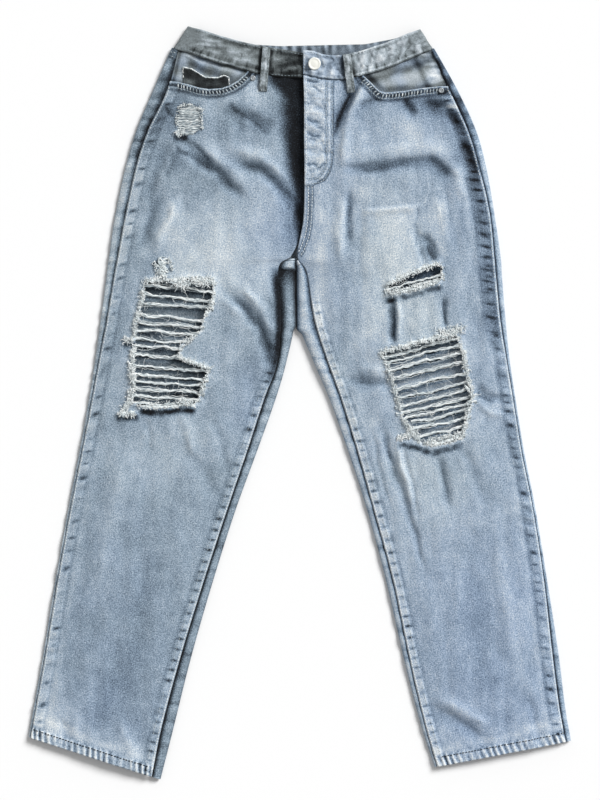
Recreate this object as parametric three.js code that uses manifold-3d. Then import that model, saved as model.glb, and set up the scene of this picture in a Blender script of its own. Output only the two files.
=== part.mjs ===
import * as THREE from 'three';
import Module from 'manifold-3d';

// Ripped jeans lying flat on their back. Millimetres; +X to the right seen from
// above, +Y towards the waist, +Z up. The underside of the back rests on Z = 0.

const CLOTH = 1.2;            // denim wall
const HEM_WALL = 2.4;         // doubled wall at the leg hems
const BAND_WALL = 2.6;        // waistband, two layers
const LOOP_WALL = 1.8;
const SEAM_GAP = 0.3;         // space left between sewn pieces
const WAIST_GAP = 1.3;        // same under the waistband, where the edges curve
const FORK_GAP = 1.2;         // same along the sharp bend at the fork
const SEAT_X = -5;            // line of the seat seam
const APEX_ROW = 7.2;         // row where the two legs part
const FORK_ROW = 5.3;         // row where the turned-up fork starts
const LAST_ROW = 15;          // hem row
const MIN_FRONT = 8.8;        // lowest outer height of a front panel away from seams

const BUTTON = { x: 19.5, y: 456.5, head: 17, rise: 4.2, shank: 5.6, hole: 6.6 };
const BUTTONHOLE = { endX: 41, endY: 453, wide: 1.6 };
const RIVET = { ring: 7.4, bore: 2.6, rise: 1.8 };

// Rows down a leg: side seam, overhang of the back panel past it, inner edge
// (centre front above the fork, inseam below), overhang past that, and the outer
// height at side seam, middle and inner edge.
const ROWS_RIGHT = [
  { sideX: -164.5, sideY: 476.0, outer: 9.0, innerX: 12.0, innerY: 438.0, inner: 6.0, zSide: 9.6, zMid: 12.0, zIn: 10.4 },
  { sideX: -180.0, sideY: 418.0, outer: 19.0, innerX: 12.5, innerY: 401.5, inner: 6.0, zSide: 10.0, zMid: 14.5, zIn: 9.6 },
  { sideX: -204.5, sideY: 368.0, outer: 16.0, innerX: 12.5, innerY: 354.5, inner: 6.0, zSide: 9.6, zMid: 16.5, zIn: 10.2 },
  { sideX: -220.0, sideY: 323.5, outer: 14.0, innerX: 12.0, innerY: 300.5, inner: 6.0, zSide: 9.2, zMid: 17.0, zIn: 11.0 },
  { sideX: -235.0, sideY: 257.0, outer: 14.0, innerX: 8.0, innerY: 246.5, inner: 6.0, zSide: 8.6, zMid: 16.5, zIn: 11.0 },
  { sideX: -247.0, sideY: 192.5, outer: 12.0, innerX: -11.0, innerY: 199.5, inner: 6.0, zSide: 8.2, zMid: 15.5, zIn: 9.6 },
  { sideX: -251.0, sideY: 172.0, outer: 10.5, innerX: -29.0, innerY: 181.5, inner: 20.0, zSide: 8.0, zMid: 15.0, zIn: 8.6 },
  { sideX: -261.0, sideY: 111.5, outer: 8.5, innerX: -25.5, innerY: 117.0, inner: 19.5, zSide: 7.6, zMid: 14.0, zIn: 8.4 },
  { sideX: -271.5, sideY: 57.5, outer: 5.5, innerX: -30.5, innerY: 54.5, inner: 12.0, zSide: 7.2, zMid: 13.2, zIn: 8.2 },
  { sideX: -281.5, sideY: 3.5, outer: 4.0, innerX: -48.5, innerY: 4.5, inner: 15.5, zSide: 6.8, zMid: 12.6, zIn: 8.0 },
  { sideX: -295.0, sideY: -67.0, outer: 3.5, innerX: -72.0, innerY: -67.0, inner: 13.5, zSide: 6.6, zMid: 12.2, zIn: 7.8 },
  { sideX: -310.0, sideY: -142.5, outer: 3.0, innerX: -98.5, innerY: -145.0, inner: 11.5, zSide: 6.4, zMid: 11.8, zIn: 7.6 },
  { sideX: -327.5, sideY: -239.5, outer: 3.0, innerX: -130.5, innerY: -242.5, inner: 12.5, zSide: 6.4, zMid: 11.4, zIn: 7.6 },
  { sideX: -344.0, sideY: -339.5, outer: 3.0, innerX: -161.5, innerY: -343.5, inner: 14.5, zSide: 6.4, zMid: 11.2, zIn: 7.6 },
  { sideX: -357.5, sideY: -415.0, outer: 3.0, innerX: -186.5, innerY: -436.5, inner: 16.0, zSide: 6.6, zMid: 11.2, zIn: 7.8 },
  { sideX: -364.0, sideY: -453.0, outer: 3.0, innerX: -200.5, innerY: -505.5, inner: 12.5, zSide: 7.0, zMid: 11.4, zIn: 8.0 },
];
const ROWS_LEFT = [
  { sideX: 177.0, sideY: 476.0, outer: 4.5, innerX: 4.5, innerY: 441.5, inner: 6.0, zSide: 9.6, zMid: 13.0, zIn: 14.6 },
  { sideX: 202.0, sideY: 419.0, outer: 11.5, innerX: 5.5, innerY: 401.5, inner: 6.0, zSide: 10.0, zMid: 16.0, zIn: 15.0 },
  { sideX: 226.0, sideY: 368.0, outer: 11.5, innerX: 5.5, innerY: 354.5, inner: 6.0, zSide: 9.6, zMid: 17.2, zIn: 14.6 },
  { sideX: 241.0, sideY: 320.5, outer: 10.0, innerX: 6.0, innerY: 300.5, inner: 6.0, zSide: 9.2, zMid: 17.2, zIn: 14.2 },
  { sideX: 256.0, sideY: 257.0, outer: 6.5, innerX: 4.5, innerY: 246.5, inner: 6.0, zSide: 8.6, zMid: 16.5, zIn: 13.4 },
  { sideX: 262.5, sideY: 195.0, outer: 9.0, innerX: -3.5, innerY: 198.5, inner: 6.0, zSide: 8.2, zMid: 15.5, zIn: 12.0 },
  { sideX: 264.5, sideY: 172.0, outer: 8.5, innerX: 9.0, innerY: 175.0, inner: 12.0, zSide: 8.0, zMid: 15.0, zIn: 9.4 },
  { sideX: 270.5, sideY: 111.5, outer: 7.5, innerX: 19.5, innerY: 111.5, inner: 22.0, zSide: 7.6, zMid: 14.0, zIn: 8.6 },
  { sideX: 279.0, sideY: 57.5, outer: 4.5, innerX: 36.5, innerY: 57.5, inner: 19.0, zSide: 7.2, zMid: 13.2, zIn: 8.2 },
  { sideX: 288.0, sideY: 3.5, outer: 3.5, innerX: 56.0, innerY: 3.5, inner: 15.5, zSide: 6.8, zMid: 12.6, zIn: 8.0 },
  { sideX: 299.5, sideY: -67.0, outer: 3.5, innerX: 78.0, innerY: -67.0, inner: 12.5, zSide: 6.6, zMid: 12.2, zIn: 7.8 },
  { sideX: 314.5, sideY: -142.5, outer: 3.5, innerX: 99.0, innerY: -142.5, inner: 9.0, zSide: 6.4, zMid: 11.8, zIn: 7.6 },
  { sideX: 329.5, sideY: -239.5, outer: 4.5, innerX: 125.5, innerY: -239.5, inner: 9.5, zSide: 6.4, zMid: 11.4, zIn: 7.4 },
  { sideX: 341.0, sideY: -339.5, outer: 8.5, innerX: 147.0, innerY: -342.0, inner: 7.5, zSide: 6.4, zMid: 11.2, zIn: 7.2 },
  { sideX: 350.5, sideY: -412.5, outer: 8.0, innerX: 168.0, innerY: -431.5, inner: 5.5, zSide: 6.6, zMid: 11.2, zIn: 7.0 },
  { sideX: 359.0, sideY: -458.5, outer: 7.5, innerX: 185.5, innerY: -492.0, inner: 3.5, zSide: 7.0, zMid: 11.4, zIn: 7.0 },
];

// Largest folds of each front: a line on the plan, half width and rise (minus for a trough).
const FOLDS_RIGHT = [
  { x0: -8, y0: 425, x1: -6, y1: 215, half: 9, rise: -6.0 },    // dip beside the fly
  { x0: -139, y0: 323, x1: -88, y1: 283, half: 14, rise: -3.4 },
  { x0: -82, y0: 320, x1: -14, y1: 262, half: 14, rise: -3.0 },
  { x0: -98, y0: 140, x1: -48, y1: 82, half: 11, rise: -3.2 },
  { x0: -44, y0: 172, x1: -46, y1: 74, half: 13, rise: 3.0 },
  { x0: -70, y0: 395, x1: -40, y1: 378, half: 15, rise: -2.4 },
  { x0: -190, y0: 290, x1: -170, y1: 190, half: 22, rise: 1.6 },
  { x0: -225, y0: -120, x1: -245, y1: -300, half: 26, rise: 1.4 },
];
const FOLDS_LEFT = [
  { x0: 78, y0: 430, x1: 46, y1: 350, half: 12, rise: -4.2 },   // fold beside the fly
  { x0: 88, y0: 405, x1: 66, y1: 330, half: 15, rise: 2.6 },
  { x0: 66, y0: 280, x1: 66, y1: 208, half: 12, rise: -2.6 },
  { x0: 124, y0: 136, x1: 126, y1: 84, half: 11, rise: -3.4 },
  { x0: 114, y0: -42, x1: 150, y1: -170, half: 14, rise: -3.0 },
  { x0: 150, y0: -170, x1: 164, y1: -240, half: 18, rise: -1.6 },
  { x0: 188, y0: -78, x1: 200, y1: -140, half: 16, rise: -2.0 },
  { x0: 176, y0: -412, x1: 244, y1: -452, half: 15, rise: -2.2 },
  { x0: 200, y0: 220, x1: 226, y1: 190, half: 14, rise: -2.0 },
];

// Waist seam seen from above (height of the seam on the plan across the garment).
const WAIST_RIGHT = [
  { x: -164.5, y: 476.5 }, { x: -151, y: 472.5 }, { x: -123, y: 461.5 }, { x: -94.5, y: 453.5 },
  { x: -61, y: 444.5 }, { x: -42, y: 440.5 }, { x: -15.5, y: 438.5 }, { x: 12, y: 437.5 },
];
const WAIST_LEFT = [
  { x: 4.5, y: 442.0 }, { x: 13.5, y: 439.8 }, { x: 37.5, y: 435.5 }, { x: 56.5, y: 434 }, { x: 73, y: 438.5 },
  { x: 96.5, y: 444.5 }, { x: 129.5, y: 455.5 }, { x: 158, y: 468 }, { x: 177, y: 476.5 },
];
const WAIST_BACK = [
  { x: -172, y: 479.5 }, { x: -125, y: 462 }, { x: -70, y: 450.5 }, { x: -27, y: 448 },
  { x: 40, y: 449.5 }, { x: 91, y: 451 }, { x: 136, y: 460 }, { x: 181, y: 478 },
];

// Waistband ring, from the under end round the back to the upper end: upper edge,
// lower edge and height of the middle of the wall.
const BAND_UNDER = [
  { upX: 27.0, upY: 470.0, lowX: 27.0, lowY: 437.5, z: 9.4 },
  { upX: 4.0, upY: 472.0, lowX: 5.0, lowY: 438.0, z: 9.7 },
  { upX: -20.0, upY: 476.0, lowX: -17.0, lowY: 438.5, z: 10.4 },
  { upX: -38.0, upY: 478.5, lowX: -40.0, lowY: 440.2, z: 11.0 },
  { upX: -56.5, upY: 482.0, lowX: -61.0, lowY: 444.5, z: 11.2 },
  { upX: -81.0, upY: 487.5, lowX: -90.0, lowY: 452.3, z: 11.2 },
  { upX: -108.0, upY: 495.0, lowX: -121.0, lowY: 460.9, z: 10.8 },
  { upX: -133.0, upY: 503.4, lowX: -150.0, lowY: 472.2, z: 9.8 },
];
const BAND_BACK = [
  { upX: -115.0, upY: 495.5, lowX: -125.0, lowY: 462.0, z: 1.3 },
  { upX: -67.5, upY: 484.5, lowX: -70.0, lowY: 450.5, z: 1.3 },
  { upX: -27.0, upY: 482.0, lowX: -27.0, lowY: 448.0, z: 1.3 },
  { upX: 40.5, upY: 483.5, lowX: 40.0, lowY: 449.5, z: 1.3 },
  { upX: 88.0, upY: 484.5, lowX: 91.0, lowY: 451.0, z: 1.3 },
  { upX: 128.0, upY: 492.0, lowX: 136.0, lowY: 460.0, z: 1.3 },
];
const BAND_UPPER = [
  { upX: 146.0, upY: 498.6, lowX: 160.0, lowY: 469.0, z: 9.8 },
  { upX: 119.0, upY: 486.5, lowX: 129.5, lowY: 455.5, z: 11.2 },
  { upX: 101.0, upY: 480.5, lowX: 108.0, lowY: 448.0, z: 11.8 },
  { upX: 83.5, upY: 474.5, lowX: 87.0, lowY: 442.0, z: 12.4 },
  { upX: 58.0, upY: 468.5, lowX: 56.5, lowY: 434.0, z: 13.4 },
  { upX: 40.5, upY: 468.0, lowX: 37.5, lowY: 435.5, z: 13.8 },
  { upX: 28.5, upY: 470.0, lowX: 27.0, lowY: 437.3, z: 14.0 },
  { upX: 17.0, upY: 474.5, lowX: 15.0, lowY: 439.4, z: 14.1 },
  { upX: 4.0, upY: 474.8, lowX: 4.5, lowY: 442.0, z: 14.2 },
];
const TURN_RIGHT = { upX: -152.5, upY: 509.5, lowX: -172.0, lowY: 479.5 };
const TURN_LEFT = { upX: 163.5, upY: 505.5, lowX: 181.0, lowY: 478.0 };

// Pocket mouth edges on the plan, from the side seam to the waist seam.
const MOUTH_RIGHT = [
  { x: -190, y: 434 }, { x: -165.5, y: 432.5 }, { x: -151, y: 429 }, { x: -136, y: 424.5 }, { x: -123, y: 422.5 },
  { x: -105, y: 424 }, { x: -94.5, y: 427.5 }, { x: -83, y: 434.5 }, { x: -73, y: 444 }, { x: -66, y: 452 },
];
const MOUTH_LEFT = [
  { x: 214, y: 426 }, { x: 186, y: 426 }, { x: 163, y: 423 }, { x: 139, y: 419 }, { x: 115, y: 417.5 },
  { x: 106.5, y: 420.5 }, { x: 96, y: 431 }, { x: 86.5, y: 439.5 }, { x: 80, y: 448 },
];
const RIVET_AT = { right: { x: -63.5, y: 437.5 }, left: { x: 190.5, y: 421 } };

// Rip slits: each row is an opening between two threads, with the plan height of
// its left and right ends, its two end positions and its width.
const SLITS_RIGHT = [
  { leftX: -199, rightX: -120, leftY: 156.5, rightY: 151.0, wide: 7.5 },
  { leftX: -199, rightX: -120, leftY: 144.0, rightY: 139.0, wide: 7.0 },
  { leftX: -206, rightX: -124, leftY: 131.0, rightY: 127.0, wide: 7.0 },
  { leftX: -212, rightX: -136, leftY: 118.0, rightY: 113.0, wide: 8.0 },
  { leftX: -219, rightX: -137, leftY: 106.0, rightY: 101.5, wide: 4.6 },
  { leftX: -218, rightX: -150, leftY: 95.0, rightY: 90.5, wide: 6.5 },
  { leftX: -221, rightX: -162, leftY: 82.0, rightY: 78.0, wide: 5.5 },
  { leftX: -221, rightX: -166, leftY: 71.0, rightY: 67.0, wide: 8.0 },
  { leftX: -222, rightX: -128, leftY: 56.0, rightY: 47.5, wide: 8.5 },
  { leftX: -219, rightX: -128, leftY: 42.0, rightY: 36.0, wide: 6.0 },
  { leftX: -220, rightX: -132, leftY: 32.0, rightY: 26.0, wide: 4.0 },
  { leftX: -221, rightX: -138, leftY: 24.0, rightY: 17.0, wide: 4.0 },
  { leftX: -224, rightX: -140, leftY: 15.0, rightY: 7.0, wide: 6.0 },
  { leftX: -214, rightX: -146, leftY: -7.0, rightY: -9.0, wide: 6.0 },
];
const SLITS_LEFT = [
  { leftX: 118, rightX: 190, leftY: 158.0, rightY: 181.0, wide: 6.0 },
  { leftX: 120, rightX: 190, leftY: 150.0, rightY: 173.0, wide: 3.0 },
  { leftX: 115, rightX: 210, leftY: 58.0, rightY: 83.0, wide: 5.5 },
  { leftX: 119, rightX: 215, leftY: 47.5, rightY: 72.5, wide: 5.5 },
  { leftX: 121, rightX: 219, leftY: 37.0, rightY: 61.0, wide: 7.0 },
  { leftX: 126, rightX: 218, leftY: 24.0, rightY: 48.0, wide: 8.0 },
  { leftX: 131, rightX: 222, leftY: 10.5, rightY: 33.0, wide: 5.5 },
  { leftX: 132, rightX: 228, leftY: 0.5, rightY: 24.0, wide: 5.5 },
  { leftX: 134, rightX: 231, leftY: -10.0, rightY: 15.0, wide: 6.0 },
  { leftX: 147, rightX: 227, leftY: -22.0, rightY: -4.0, wide: 5.5 },
  { leftX: 156, rightX: 224, leftY: -31.0, rightY: -15.0, wide: 5.5 },
  { leftX: 160, rightX: 222, leftY: -41.5, rightY: -26.0, wide: 5.5 },
  { leftX: 170, rightX: 217, leftY: -51.0, rightY: -40.0, wide: 5.0 },
];

// Belt loops: top end on the upper edge of the band, lower end on the panel.
const LOOP = { wide: 11, stand: 4.9 };
const LOOP_AT = {
  right: { topX: -45.0, topY: 478.0, endX: -50.0, endY: 420.0 },
  left: { topX: 63.5, topY: 468.0, endX: 69.0, endY: 418.0 },
};
const COIN = { left: -159, right: -97, top: 449, slope: -0.12, bottom: 412 };
const FACING_DEPTH = 24;      // facing carried on below the mouth edge

const wasm = await Module();
wasm.setup();

// ---------- surfaces ----------
const clamp = (v, lo, hi) => Math.min(hi, Math.max(lo, v));
const mix = (a, b, t) => a + (b - a) * t;
const smooth = (t) => { const k = clamp(t, 0, 1); return k * k * (3 - 2 * k); };

function spline(table, key, at) {
  const last = table.length - 1;
  const i = clamp(Math.floor(at), 0, last - 1);
  const t = clamp(at - i, 0, 1);
  const p1 = table[i][key], p2 = table[i + 1][key];
  const p0 = i > 0 ? table[i - 1][key] : 2 * p1 - p2;
  const p3 = i + 2 <= last ? table[i + 2][key] : 2 * p2 - p1;
  return 0.5 * (2 * p1 + (p2 - p0) * t + (2 * p0 - 5 * p1 + 4 * p2 - p3) * t * t
    + (3 * p1 - p0 - 3 * p2 + p3) * t * t * t);
}

function heightAt(table, x) {
  const up = table[table.length - 1].x > table[0].x;
  for (let i = 0; i < table.length - 1; i += 1) {
    const a = table[i], b = table[i + 1];
    if ((up && x <= b.x) || (!up && x >= b.x) || i === table.length - 2) {
      return spline(table, 'y', i + clamp((x - a.x) / (b.x - a.x), 0, 1));
    }
  }
  return table[0].y;
}

function foldRise(folds, x, y) {
  let sum = 0;
  for (const f of folds) {
    const dx = f.x1 - f.x0, dy = f.y1 - f.y0, len2 = dx * dx + dy * dy;
    const t = ((x - f.x0) * dx + (y - f.y0) * dy) / len2;
    const off = Math.abs((x - f.x0) * dy - (y - f.y0) * dx) / Math.sqrt(len2);
    const end = smooth((t + 0.25) / 0.5) * smooth((1.25 - t) / 0.5);
    sum += f.rise * Math.exp(-((off / f.half) ** 2)) * end;
  }
  return sum;
}

function makeSide(rows, folds, waist, sign) {
  const row = (v) => {
    const r = {};
    for (const key of Object.keys(rows[0])) r[key] = spline(rows, key, v);
    return r;
  };
  const top = rows[0];
  // outer surface of the front panel: u = 0 side seam, u = 1 inner edge
  const front = (u, v) => {
    const r = row(v);
    let x = mix(r.sideX, r.innerX, u);
    let y = mix(r.sideY, r.innerY, u);
    const bend = smooth(1 - v / 3);
    const x0 = mix(top.sideX, top.innerX, u);
    y += (heightAt(waist, x0) - WAIST_GAP - mix(top.sideY, top.innerY, u)) * bend;
    const dome = 1 - Math.abs(2 * u - 1) ** 3;
    const base = mix(r.zSide, r.zIn, u) + (r.zMid - mix(r.zSide, r.zIn, 0.5)) * dome;
    const edge = smooth(u / 0.06) * smooth((1 - u) / 0.04);
    const low = Math.min(base, MIN_FRONT);
    const waistEase = smooth(v / 0.6);
    const z = Math.max(low, base + foldRise(folds, x, y) * edge * waistEase);
    return new THREE.Vector3(x, y, z);
  };
  // plan position back to the panel's own coordinates
  const locate = (x, y) => {
    let u = 0.5, v = 7;
    for (let k = 0; k < 40; k += 1) {
      const p = front(u, v), pu = front(u + 0.002, v), pv = front(u, v + 0.002);
      const a = (pu.x - p.x) / 0.002, b = (pv.x - p.x) / 0.002;
      const c = (pu.y - p.y) / 0.002, d = (pv.y - p.y) / 0.002;
      const det = a * d - b * c, ex = x - p.x, ey = y - p.y;
      u = clamp(u + clamp((d * ex - b * ey) / det, -0.2, 0.2), -0.05, 1.05);
      v = clamp(v + clamp((a * ey - c * ex) / det, -1.5, 1.5), 0, LAST_ROW);
    }
    return { u, v };
  };
  const topAt = (x, y) => { const q = locate(x, y); return front(q.u, q.v).z; };
  return { rows, row, front, locate, topAt, sign };
}

const RIGHT = makeSide(ROWS_RIGHT, FOLDS_RIGHT, WAIST_RIGHT, -1);
const LEFT = makeSide(ROWS_LEFT, FOLDS_LEFT, WAIST_LEFT, 1);

// ---------- walls from a grid of points ----------
// grid[j][i]; the wall runs from "over" along the surface normal to "under" against it;
// "skip" columns at each end only guide the normals
function wall(full, over, under, skip = { first: 0, last: 0 }) {
  const nj = full.length, wide = full[0].length, ni = wide - skip.first - skip.last;
  const get = (j, i) => full[clamp(j, 0, nj - 1)][clamp(i + skip.first, 0, wide - 1)];
  const pos = [];
  const tri = [];
  const normals = [];
  for (let j = 0; j < nj; j += 1) {
    for (let i = 0; i < ni; i += 1) {
      const a = new THREE.Vector3().subVectors(get(j, i + 1), get(j, i - 1));
      const b = new THREE.Vector3().subVectors(get(j + 1, i), get(j - 1, i));
      normals.push(a.cross(b).normalize());
    }
  }
  const thick = (w, j, i) => (typeof w === 'function' ? w(j, i) : w);
  for (const face of [1, -1]) {
    for (let j = 0; j < nj; j += 1) {
      for (let i = 0; i < ni; i += 1) {
        const off = face > 0 ? thick(over, j, i) : -thick(under, j, i);
        const p = get(j, i).clone().addScaledVector(normals[j * ni + i], off);
        pos.push(p.x, p.y, p.z);
      }
    }
  }
  const A = (j, i) => j * ni + i;
  const B = (j, i) => nj * ni + j * ni + i;
  const quad = (a, b, c, d) => tri.push(a, b, c, a, c, d);
  for (let j = 0; j < nj - 1; j += 1) {
    for (let i = 0; i < ni - 1; i += 1) {
      quad(A(j, i), A(j, i + 1), A(j + 1, i + 1), A(j + 1, i));
      quad(B(j, i), B(j + 1, i), B(j + 1, i + 1), B(j, i + 1));
    }
  }
  for (let i = 0; i < ni - 1; i += 1) {
    quad(A(0, i), B(0, i), B(0, i + 1), A(0, i + 1));
    quad(A(nj - 1, i), A(nj - 1, i + 1), B(nj - 1, i + 1), B(nj - 1, i));
  }
  for (let j = 0; j < nj - 1; j += 1) {
    quad(A(j, 0), A(j + 1, 0), B(j + 1, 0), B(j, 0));
    quad(A(j, ni - 1), B(j, ni - 1), B(j + 1, ni - 1), A(j + 1, ni - 1));
  }
  return { pos, tri };
}

function solidOf({ pos, tri }) {
  let volume = 0;
  for (let k = 0; k < tri.length; k += 3) {
    const [a, b, c] = [tri[k] * 3, tri[k + 1] * 3, tri[k + 2] * 3];
    volume += (pos[a] * (pos[b + 1] * pos[c + 2] - pos[b + 2] * pos[c + 1])
      - pos[a + 1] * (pos[b] * pos[c + 2] - pos[b + 2] * pos[c])
      + pos[a + 2] * (pos[b] * pos[c + 1] - pos[b + 1] * pos[c])) / 6;
  }
  const order = Uint32Array.from(tri);
  if (volume < 0) for (let k = 0; k < order.length; k += 3) [order[k], order[k + 1]] = [order[k + 1], order[k]];
  return new wasm.Manifold(new wasm.Mesh({ numProp: 3, vertProperties: Float32Array.from(pos), triVerts: order }));
}

// wall on a side's grid, whose columns run from the side seam inwards, normal up on flat cloth
function cloth(side, grid, over, under, skip = { first: 0, last: 0 }) {
  if (side.sign > 0) return solidOf(wall(grid, over, under, skip));
  return solidOf(wall(grid.map((r) => [...r].reverse()), over, under, { first: skip.last, last: skip.first }));
}

// upright prism over a closed plan outline, by ear order of a convex or strip outline
function prism(outline, z0, z1) {
  const shape = new THREE.Shape(outline.map((p) => new THREE.Vector2(p.x, p.y)));
  const faces = THREE.ShapeUtils.triangulateShape(shape.getPoints(), []);
  const pts = shape.getPoints();
  const n = pts.length;
  const pos = [], tri = [];
  for (const z of [z0, z1]) for (const p of pts) pos.push(p.x, p.y, z);
  for (const [a, b, c] of faces) tri.push(n + a, n + b, n + c, a, c, b);
  const ccw = THREE.ShapeUtils.area(pts) > 0;
  for (let k = 0; k < n; k += 1) {
    const m = (k + 1) % n;
    if (ccw) tri.push(k, m, n + m, k, n + m, n + k);
    else tri.push(m, k, n + k, m, n + k, n + m);
  }
  return solidOf({ pos, tri });
}

function lathe(profile, segments, x, y, z) {
  const g = new THREE.LatheGeometry(profile.map((p) => new THREE.Vector2(p.r, p.z)), segments);
  g.rotateX(Math.PI / 2);
  const p = g.getAttribute('position');
  const keys = new Map(), pos = [], remap = [], tri = [];
  for (let k = 0; k < p.count; k += 1) {
    const key = [p.getX(k), p.getY(k), p.getZ(k)].map((c) => Math.round(c * 1e4)).join();
    if (!keys.has(key)) { keys.set(key, pos.length / 3); pos.push(p.getX(k) + x, p.getY(k) + y, p.getZ(k) + z); }
    remap.push(keys.get(key));
  }
  const idx = g.getIndex();
  for (let k = 0; k < idx.count; k += 3) {
    const [a, b, c] = [remap[idx.getX(k)], remap[idx.getX(k + 1)], remap[idx.getX(k + 2)]];
    if (a !== b && b !== c && a !== c) tri.push(a, b, c);
  }
  return solidOf({ pos, tri });
}

// ---------- front panels ----------
const ACROSS = [0, 0.07, 0.18, 0.31, 0.45, 0.57, 0.68, 0.78, 0.88, 0.94, 1];
const YOKE_SIDE = 0.24;       // row of the yoke seam at the side seam
const YOKE_SEAT = 1.15;       // and at the seat seam
const DOWN = [0, YOKE_SIDE, 0.6, 1.1, 1.7, 2.3, 3, 3.6, 4.2, 4.7, 5.1, 5.4, 5.75, 6.1, 6.6, APEX_ROW, 7.8, 8.5, 9.3,
  10.2, 11, 12, 13, 14, 14.6, 14.8, LAST_ROW];
const hemWall = (v) => mix(CLOTH, HEM_WALL, smooth((v - 14.5) / 0.25));

function frontPanel(side, mouth, slits) {
    const grid = DOWN.map((v) => ACROSS.map((u) => {
    const a = side.front(0, v), b = side.front(1, v);
    const inset = mix(SEAM_GAP / 2, 0.7, smooth((v - 14.5) / 0.25));
    const k = inset / Math.hypot(b.x - a.x, b.y - a.y);
    return side.front(mix(k, 1 - k, u), v);
  }));
  let body = cloth(side, grid, 0, (j) => hemWall(DOWN[j]));
  const corner = [...mouth, { x: mouth[mouth.length - 1].x, y: 520 }, { x: mouth[0].x, y: 520 }];
  body = body.subtract(prism(corner, 0, 40));
  for (const s of slits) {
    const run = Math.hypot(s.rightX - s.leftX, s.rightY - s.leftY);
    const nx = -(s.rightY - s.leftY) / run, ny = (s.rightX - s.leftX) / run;
    const at = (t, o) => ({ x: mix(s.leftX, s.rightX, t) + nx * o * s.wide, y: mix(s.leftY, s.rightY, t) + ny * o * s.wide });
    body = body.subtract(prism([at(0.02, -0.5), at(0.97, -0.5), at(1, 0.5), at(0, 0.5)], 0, 40));
  }
  return body;
}

// ---------- back panels and yokes ----------
const TURN = [0, 0.2, 0.38, 0.5, 0.62, 0.8, 1].map((t) => t * Math.PI);
const INNER_TURN = [0, 0.24, 0.5, 0.76, 1].map((t) => t * Math.PI);
const FLAT = [0.14, 0.4, 0.68, 1];     // columns across the underside
const yokeRow = (k) => mix(YOKE_SIDE, YOKE_SEAT, smooth(k));

function backPoint(side, v, k) {
  // first the turn from side seam to underside, then across the underside
  const r = side.row(v);
  const S = new THREE.Vector2(r.sideX, r.sideY), N = new THREE.Vector2(r.innerX, r.innerY);
  const d = N.clone().sub(S).normalize();
  if (k < TURN.length) {
    const a = Math.max(r.outer - CLOTH / 2, 1.7), b = (r.zSide - CLOTH) / 2;
    const out = SEAM_GAP / 2 + a * Math.sin(TURN[k]);
    const p = S.clone().addScaledVector(d, -out);
    return new THREE.Vector3(p.x, p.y - WAIST_GAP * smooth(1 - v / 3), r.zSide / 2 + b * Math.cos(TURN[k]));
  }
  const t = FLAT[k - TURN.length];
  const seat = new THREE.Vector2(SEAT_X + side.sign * SEAM_GAP / 2, r.innerY);
  const parted = N.clone().addScaledVector(d, -SEAM_GAP / 2);
  const E = v < APEX_ROW - 0.02 ? seat : parted;
  const p = S.clone().lerp(E, t);
  const r0 = side.rows[0];
  const x0 = mix(r0.sideX, SEAT_X, t);
  const lift = heightAt(WAIST_BACK, x0) - 1.6 * WAIST_GAP - mix(r0.sideY, r0.innerY, t);
  return new THREE.Vector3(p.x, p.y + lift * smooth(1 - v / 3), CLOTH / 2);
}

const BACK_DOWN = DOWN.filter((v) => v >= YOKE_SIDE);

function backGrid(side, rowAt, rows) {
  const n = TURN.length + FLAT.length;
  return rows.map((s) => Array.from({ length: n }, (_, k) => {
    const across = k < TURN.length ? 0 : FLAT[k - TURN.length];
    return backPoint(side, rowAt(across, s), k);
  }));
}

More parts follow.
